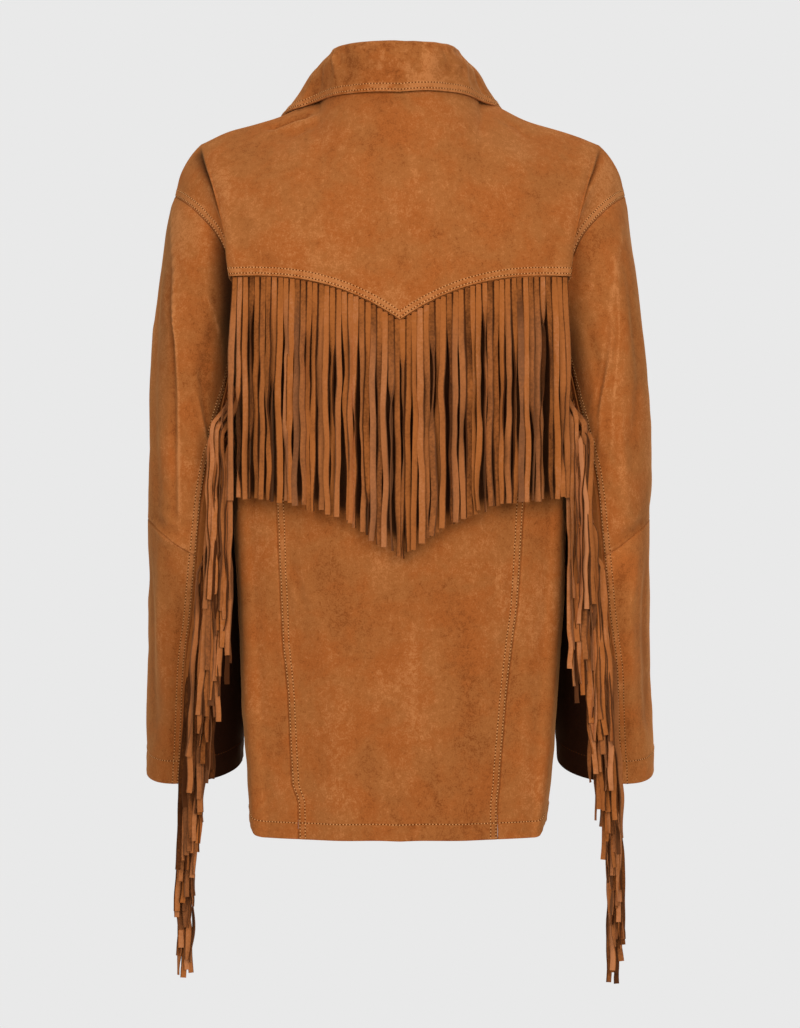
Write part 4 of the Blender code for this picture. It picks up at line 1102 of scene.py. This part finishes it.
leftLying = table(
    "share x y z",
    (0, 0, 0, 14),
    (0.125, 31, 0, 14.5),
    (0.25, 60, 0, 14),
    (0.35, 82, 0, 11.5),
    (0.43, 98.5, 0, 6.5),
    (0.5, 109, 0, 4),
    (0.56, 119, 16, -1),
    (0.62, 123, 30, -9),
    (0.75, 123, 60, -30),
)
rightLying = table(
    "share x y z",
    (0, 0, 0, 14),
    (0.125, 30, 0, 16),
    (0.25, 56, 0, 15.8),
    (0.35, 74, 0, 13.2),
    (0.43, 86.5, 0, 10),
    (0.5, 95.5, 0, 8),
    (0.56, 103, 16, 3),
    (0.62, 108, 30, -6),
    (0.75, 115, 60, -30),
)
collarCreases = table(  # places are millimetres along the collar from the nape, and up and over it
    creaseColumns,
    (-95, 78, -88, 104, 2.6, 2, 1),
    (-101, 80, -94, 106, 3, -1.5, 1),
    (-84, 80, -80, 98, 3, -1.2, 1),
    (-122, 80, -118, 122, 5, -1.3, 2),
    (-140, 82, -150, 118, 5, 1, 2),
    (-30, 76, -46, 100, 4, -0.8, 1),
    (4, 84, 12, 114, 6, 0.8, 2),
    (60, 80, 76, 106, 5, -1, 2),
    (118, 80, 104, 118, 5, 1.2, -2),
    (150, 82, 140, 122, 6, -1.1, -2),
)


def onYoke(rows, a, clear):
    # Where the collar's edge lies: on the back at its x and z, clear of it by that much, then on over the shoulder.
    across, height = np.meshgrid(np.linspace(0, 1.2, 110), np.linspace(0.6, cut["top"], 110))
    points = rounder(body(backRows, across, height)) + bodyOut(backRows, across, height) * clear
    points = points.reshape(-1, 3)
    wanted = np.stack(readAt(rows, "share", a, "x y z"), -1)
    nearest = ((points[None, :, ::2] - wanted[:, None, ::2]) ** 2).sum(-1).argmin(axis=1)
    over = ease(0.47, 0.53, a)[:, None]
    place = points[nearest] * (1 - over) + (wanted + np.array([0, 0, clear])) * over
    place = np.pad(place, ((6, 6), (0, 0)), mode="reflect", reflect_type="odd")
    place = np.stack([np.convolve(row, np.ones(13) / 13, "valid") for row in place.T], -1)
    place[:, 0] -= place[0, 0]
    return place


def makeCollar():
    a = np.linspace(0, 1, collarLook["columns"])
    stand, lean, drop, spread, swing = (
        part[:, None] for part in readAt(collarRows, "share", a, "stand lean drop spread swing")
    )
    turn = math.pi * a * collarLook["end"]
    e = np.stack([np.sin(turn), -np.cos(turn), 0 * turn], -1)
    up, r = np.array([0, 0, 1.0]), collarLook["fold"]
    seam = neckline(a * collarLook["end"]) - e * collarLook["inset"] - up * 0.001
    fold = seam + up * stand + e * lean
    edge = fold + e * spread - up * drop + np.array([1.0, 0, 0]) * swing
    lying = (1 - ease(0.58, 0.76, a))[:, None]
    rise = unit(fold - seam)
    full = (0.002 + 0.0035 * hill(a, 0.5, 0.2))[:, None]
    at = edged(steps(0, 8, 2, 22, 6, 26, 9))
    halves = []
    for rows in (leftLying, rightLying):
        hem = edge * (1 - lying) + (onYoke(rows, a, collarLook["clear"]) - e * r) * lying
        fall = unit(hem - fold)
        lines = [
            seam, (seam + fold) / 2, fold - rise * r * 1.2, fold - rise * r * 0.3 + e * r * 0.3, fold + e * r,
            fold + e * r * 1.8 + fall * r * 0.4, fold + e * r * 2 + fall * r * 1.6,
            fold * 0.64 + hem * 0.36 + e * (r * 1.7 + full), fold * 0.3 + hem * 0.7 + e * (r * 1.2 + full * 0.6),
            hem + e * r,
        ]
        halves.append(curveThrough(np.stack(lines, 1), at))
    points = np.concatenate([mirrored(halves[0][:0:-1], -1), halves[1]])
    out = unit(np.cross(np.gradient(points, axis=1), np.gradient(points, axis=0)))
    place = np.concatenate([-a[:0:-1], a])[:, None] + 0 * at
    level = 0 * place + at
    wave = softNoise(place * 0.25, level * 0.012, 0.03, 31)
    small = softNoise(place * 0.25, level * 0.012, 0.011, 32)
    sag = 0.0022 * hill(place, 0.13, 0.05) - 0.0018 * hill(place, -0.22, 0.04)
    fold = (0.0010 * wave + 0.0004 * small) * ease(1.0, 4.0, level) + sag * ease(4.2, 6.5, level)
    fold = (fold + creased(collarCreases, place * 0.33, level * 0.0137)) * (1 - 0.8 * ease(8.0, 9, level))
    # The stand leans to the left, more so at its top.
    onRight = ease(-0.15, 0.15, place)
    moved = 0.0045 * (1 - ease(6, 8.5, level)) * (1 - onRight)
    moved = moved + (0.0035 - 0.001 * ease(6, 7.5, level)) * (1 - ease(7.6, 9, level)) * onRight
    points[..., 0] -= moved * ease(0, 4, level) * ease(-0.02 - 0.025 * onRight, 0.03 - 0.03 * onRight, points[..., 2])
    points = points + out * cut["leather"] / 2
    shell("foldedCollar", "collar", points, out, fold, suede("collarSuede", 0.94, 0.24, 1.5), 0.02, bands="high")
    print("collar made")


# The buttons

buttonLook = {
    "heights": (0.14, 0.25, 0.36, 0.47, 0.58),
    "radius": 0.0105,
    "stand": 0.0037,
    "sides": 48,
    "thread": 0.00045,
    "profile": (  # share of the radius, and millimetres
        (0.40, 2.1), (0.62, 2.2), (0.74, 2.8), (0.84, 3.4), (0.93, 3.2), (0.985, 2.4), (1.0, 1.6), (0.97, 0.6),
        (0.88, 0.1), (0.45, 0),
    ),
}


def makeButtons(finish, thread):
    # A turned disc with a raised rim, a dished face and a flat back: a profile carried round an axis. Across it lie
    # two bars of thread, each an arched strand.
    look = buttonLook
    wide, high = np.array(look["profile"]).T[..., None] * np.array([look["radius"], 0.001])[:, None, None]
    turn = np.linspace(0, 2 * math.pi, look["sides"], endpoint=False)
    disc = np.stack(np.broadcast_arrays(np.cos(turn) * wide, np.sin(turn) * wide, high), -1)
    t = np.linspace(0, 1, 9)[:, None]
    around = np.linspace(0, 2 * math.pi, 6, endpoint=False)
    aside = np.array([-0.0014, 0.0014])[:, None, None] + look["thread"] * np.cos(around)
    rise = 0.0022 + 0.0007 * np.sin(math.pi * t) + look["thread"] * np.sin(around)
    bars = np.stack(np.broadcast_arrays(aside, (t - 0.5) * 0.0042, rise), -1)
    for number, height in enumerate(look["heights"], 1):
        centre, out = (way(frontRows, np.zeros(1), np.array([height]))[0] for way in (body, bodyOut))
        side = np.array([1.0, 0, 0])
        axes = np.stack([side, unit(np.cross(out, side)), out])
        base = centre + out * look["stand"]
        faces = tubeFaces(1, *disc.shape[:2])
        newMesh(f"button.{number}", base + disc @ axes, faces, finish, "button", f"button_{number}")
        newMesh(f"buttonThread.{number}", base + bars @ axes, tubeFaces(2, 9, 6), thread, "button")
    print("buttons made")


# The fringe

strandLook = {"thick": 0.0011, "steps": 34, "flat": 0.6}


def strandWaves(random, count, s, waves, reach):
    # A sum of three sines of random length and place along each strand, growing from its root.
    total = np.zeros((count, s.size))
    for k in range(3):
        often = random.uniform(0.5, 1.4, (count, 1)) * waves * (k + 1)
        start = random.uniform(0, 2 * math.pi, (count, 1))
        size = random.uniform(0.4, 1.0, (count, 1)) / (k + 1) ** 1.3
        total += size * (np.sin(often * 2 * math.pi * s + start) - np.sin(start))
    return total * reach


def stripRoots(points, out, lift):
    # The strip that a fringe is cut from, and the place where each strand leaves it.
    strip = points + out * lift
    return strip, (strip[0, 1:] + strip[0, :-1]) / 2 + out[0, :-1] * 0.0006


def strandMesh(name, node, look, finish, restsOn, strip, stripOut, length, centre, turn, half, curl, tone, flesh):
    # Ribbons of leather: at each place along a strand a section of eight points, its width turned about the strand by
    # turn and arched by curl. The strip that they are cut from is a closed wall.
    count, long = turn.shape
    down = unit(np.gradient(centre, axis=1))
    wide = np.stack([np.cos(turn), np.sin(turn), 0 * turn], -1)
    wide = unit(wide - down * (wide * down).sum(-1, keepdims=True))
    thin = np.cross(wide, down)
    thin = thin * np.where(thin[:, :1, 1:2] > 0, -1.0, 1.0)
    thick, flat = strandLook["thick"], strandLook["flat"]
    section = [(-1, 1), (-flat, 1), (flat, 1), (1, 1), (1, -1), (flat, -1), (-flat, -1), (-1, -1)]
    points = [
        centre + wide * (half * w)[..., None] + thin * (curl * (1 - w * w) + t * thick / 2)[..., None]
        for w, t in section
    ]
    points = np.stack(points, 2)
    faces = tubeFaces(count, long, len(section))
    a, b, c = points[0, 0, 0], points[0, 0, 1], points[0, 1, 0]
    if (np.cross(b - a, c - a) * (a - centre[0, 0])).sum() > 0:
        faces = faces[:, ::-1]
    stripPoints, stripFaces = closedWall(strip + stripOut * thick, strip, stripOut)
    # One long edge of each strand is in shade, the left or the right.
    onLeft = (np.arange(count) * 7 % 5 < 2)[:, None, None]
    shade = np.where(onLeft, [1.2, 0, 0, 0, 1.3, 1.3, 1.3, 1.6], [0, 0, 0, 1.2, 1.6, 1.3, 1.3, 1.3])
    tone = (tone[:, :, None] - look["edgeDark"] * shade).ravel()
    made = newMesh(
        name, np.concatenate([points.reshape(-1, 3), stripPoints]), np.concatenate([faces, stripFaces + tone.size]),
        finish, "fringe", node, tone=np.concatenate([tone, np.full(len(stripPoints), 0.45)]),
        flesh=np.concatenate([np.repeat(flesh, len(section), axis=1).ravel(), np.zeros(len(stripPoints))]),
    )
    across = np.linalg.norm(np.diff(strip[0], axis=0), axis=-1).sum()
    fall = length.max() + look["strip"]
    area = min(float((look["width"] * length).sum() + across * look["strip"]), across * fall)
    print(name, "made")


yokeFringeLook = {"strands": 58, "length": 0.214, "width": 0.0061, "strip": 0.009, "edgeDark": 0.60, "tone": 0.40}


def makeYokeFringe(finish):
    look, random, small = yokeFringeLook, np.random.default_rng(17), np.random.default_rng(18)
    count = look["strands"]
    each = lambda low, high: random.uniform(low, high, (count, 1))
    edges = np.linspace(-0.995, 0.995, count + 1)
    across = np.stack([edges, edges])
    height = np.array([cut["yokeHeight"] - 0.0015, cut["yokeHeight"] + look["strip"]])[:, None] + 0 * across
    out = bodyOut(backRows, across, height)
    strip, root = stripRoots(body(backRows, across, height), out, 0.0003)
    pitch = np.linalg.norm(np.diff(strip[0], axis=0), axis=-1)[:, None]
    s = np.linspace(0, 1, strandLook["steps"]) ** 1.1
    wide = unit(np.diff(strip[0], axis=0) * np.array([1, 1, 0]))
    away = unit(np.cross(wide, np.array([0, 0, 1.0])))
    middle = 1 - np.abs(edges[1:] + edges[:-1]) / 2
    length = look["length"] + 0.014 * middle**2 + random.uniform(-0.0022, 0.0022, count)
    layer = (random.permutation(count) % 3)[:, None]
    deep = (each(0, 1) < 0.22) & (layer == 0) | (each(0, 1) < 0.1)
    sway = strandWaves(random, count, s, 1.5, 0.0011) * ease(0, 0.5, s)
    sway = sway + each(-0.0016, 0.0016) * (1 + 0.8 * deep) * s**1.3
    sway = sway + strandWaves(small, count, s, 2.0, 0.00055) * ease(0.1, 0.45, s)
    stand = 0.0010 + 0.0022 * (1 + layer) * ease(0, 0.35, s) + 0.0006 * strandWaves(random, count, s, 1.0, 1.0) * s
    centre = root[:, None, :] + wide[:, None, :] * sway[..., None] + away[:, None, :] * stand[..., None]
    centre[..., 2] -= length[:, None] * s
    # Most strands lie nearly flat. A few turn edge on for a stretch.
    twist = random.normal(0, 0.4, (count, 1)) * ease(0, 0.3, s)
    twist = twist + strandWaves(random, count, s, 1.3, 0.26) * ease(0, 0.25, s)
    turned, start = each(0, 1) < 0.22, each(0.1, 0.8)
    edgeOn = ease(start, start + 0.12, s) - ease(start + 0.3, start + 0.5, s) * (each(0, 1) < 0.6)
    twist = twist + turned * edgeOn * random.choice([-1.3, 1.3], (count, 1))
    twist = twist + strandWaves(small, count, s, 1.9, 0.30) * ease(0.12, 0.45, s)
    half = look["width"] / 2 * (1 + each(-0.10, 0.08)) * (1 + 0.03 * np.sin(9 * s + 6 * start))
    half = pitch / 2 * 0.88 * (1 - ease(0.0, 0.1, s)) + half * ease(0.0, 0.1, s)
    curl = (0.0002 + each(-0.0003, 0.0007)) * ease(0.05, 0.4, s)
    tone = look["tone"] + random.normal(0, 0.14, (count, 1)) + 0.12 * strandWaves(random, count, s, 1.5, 0.5)
    # Some strands, mostly those lying nearest the panel, are painted darker as shade.
    tone = tone - 0.24 * deep * ease(0.0, 0.3, s)
    flesh = each(0, 1) ** 3 * 0.6 * ease(0.0, 0.3, s)
    turn = np.arctan2(wide[:, 1], wide[:, 0])[:, None] + twist
    shape = strip, out, length, centre, turn, half, curl, tone, flesh
    strandMesh("yokeFringe", "yoke_fringe", look, finish, "yoke", *shape)


sleeveFringeLook = {
    "strands": 84,
    "length": 0.205,
    "width": 0.0056,
    "strip": 0.006,
    "edgeDark": 0.95,
    "tone": (0.43, 0.60),  # left, right; they differ as painted light and shade
    "ends": (0.08, 0.986),
    "standOff": 0.013,
    "lean": 0.065,
    "lane": 0.0057,
    "lanes": 4,
    "nearestLane": 29,
    "innermost": 0.1635,
}


def makeSleeveFringe(finish, side, word, seed):
    look, random, small = sleeveFringeLook, np.random.default_rng(seed), np.random.default_rng(seed + 1)
    count, lanes = look["strands"], look["lanes"]
    each = lambda low, high: random.uniform(low, high, (count, 1))
    fine = np.linspace(*look["ends"], 300)
    length = running(sleeve(fringeSeam(fine), fine), 0)
    share = np.interp(np.linspace(0, length[-1], count + 1), length, fine)
    seam = fringeSeam(share)
    angle = np.stack([seam + gapAngle(seam, share, far) for far in (0.0072, 0.0010)])
    out = sleeveOut(angle, np.stack([share, share]))
    strip, root = stripRoots(sleeve(angle, np.stack([share, share])), out, 0.0012)
    inward = unit(strip[0, :-1] - strip[1, :-1])
    share = share[:-1]
    # The strands hang in lanes. The upper ones hang further in, so that the seam shows, and the lowest ones closer
    # together, on the outer side.
    inner = np.round(2 * (1 - ease(0.3, 0.5, share)))
    lowest = np.maximum((root[:, 0] / look["lane"]).astype(int) - lanes + 2 - inner, look["nearestLane"])
    slot = (np.arange(count) * 3 + random.integers(0, 2, count)) % lanes
    lane = lowest + lanes - 1 - (lanes - 1 - slot) * (1 - 0.5 * ease(0.62, 0.82, share))
    deep = (random.permutation(count) % 3 == 0)[:, None]
    strandLength = look["length"] + random.uniform(-0.009, 0.008, count)
    below = share[:, None] + (1 - share[:, None]) * np.linspace(0, 1, 20)
    hangY = np.minimum(smooth(sleeveRows["share"], sleeveRows["backY"], below).min(axis=1), root[:, 1])
    s = np.linspace(0, 1, strandLook["steps"])
    drop = strandLength[:, None] * s
    fan = (0.028 + 0.3 * np.maximum(0, root[:, 1] - hangY))[:, None]
    hanging = ease(0, 1, drop / fan)
    leaving = 1 - hanging
    drift = np.interp(share, [0.3, 0.5, 0.8, 1.0], [0.002, 0.010, 0.007, 0.005])[:, None]
    hangX = lane[:, None] * look["lane"] + strandWaves(random, count, s, 1.8, 0.0014)
    hangX = hangX + (drift + each(-0.0045, 0.0035)) * s
    hangX = np.maximum(hangX + strandWaves(small, count, s, 2.0, 0.0008) * ease(0.15, 0.5, s), look["innermost"])
    planeY = (hangY - look["standOff"])[:, None] - look["lean"] * drop
    planeY = planeY + strandWaves(random, count, s, 1.0, 0.0007) + 0.004 * deep
    # A strand leaves the seam outwards, then falls into its place in the hanging bunch.
    bulge = 0.6 * np.sin(math.pi * np.clip(drop / fan, 0, 1))[..., None]
    arc = (inward * 0.004 + out[0, :-1] * 0.010)[:, None, :] * bulge
    x = root[:, 0, None] * leaving + hangX * hanging
    y = root[:, 1, None] * leaving + planeY * hanging
    centre = np.stack([x, y, root[:, 2, None] - drop], -1) + arc * np.array([1.0, 1.0, 0.3])
    twist = random.normal(0, 0.55, (count, 1)) + strandWaves(random, count, s, 1.4, 0.45)
    twist = twist + strandWaves(small, count, s, 1.9, 0.35) * ease(0.2, 0.5, s)
    turned = (each(0, 1) < 0.32) * random.choice([-1.2, 1.2], (count, 1))
    start = each(0.2, 0.7)
    turn = 0.6 * leaving + (twist + turned * ease(start, start + 0.15, s)) * hanging
    half = look["width"] / 2 * (1 + each(-0.12, 0.1)) * (0.40 + 0.60 * ease(0, 0.16, s))
    curl = (0.0003 + each(-0.0004, 0.0007)) * ease(0.1, 0.5, s)
    tone = look["tone"][side > 0] + random.normal(0, 0.19, (count, 1)) + 0.08 * strandWaves(random, count, s, 1.5, 0.5)
    # Deeper strands are painted darker as shade, and the lowest ones lighter as painted light.
    tone = tone - 0.55 * deep + 0.13 * ease(0.7, 0.95, share[:, None])
    flesh = each(0, 1) ** 2 * 0.4 * ease(0.0, 0.2, s)
    turn = turn if side > 0 else math.pi - turn
    strip, out, centre = (mirrored(part, side) for part in (strip, out, centre))
    shape = strip, out, strandLength, centre, turn, half, curl, tone, flesh
    strandMesh("sleeveFringe." + word, "sleeve_fringe_" + word, look, finish, "underSleeve." + word, *shape)


# Put together

makeStudio()
threadCotton = plain("threadCotton", suedeLook["thread"], 0.8, 900.0, 0.12, 0.2)
makeBody()
makeSleeves()
makeCollar()
makeButtons(plain("buttonHorn", suedeLook["button"], 0.38, 220.0, 0.35), threadCotton)
fringeFinish = fringeSuede()
makeYokeFringe(fringeFinish)
makeSleeveFringe(fringeFinish, -1, "left", 41)
makeSleeveFringe(fringeFinish, 1, "right", 43)
makeStitches(threadCotton, plain("needleHoles", suedeLook["needleHole"], 1.0, 900.0, 0.1, 0.0))

total = sum(len(made.data.polygons) * 2 for made in jacket.values())
print("pieces", len(jacket), "triangles about", total)
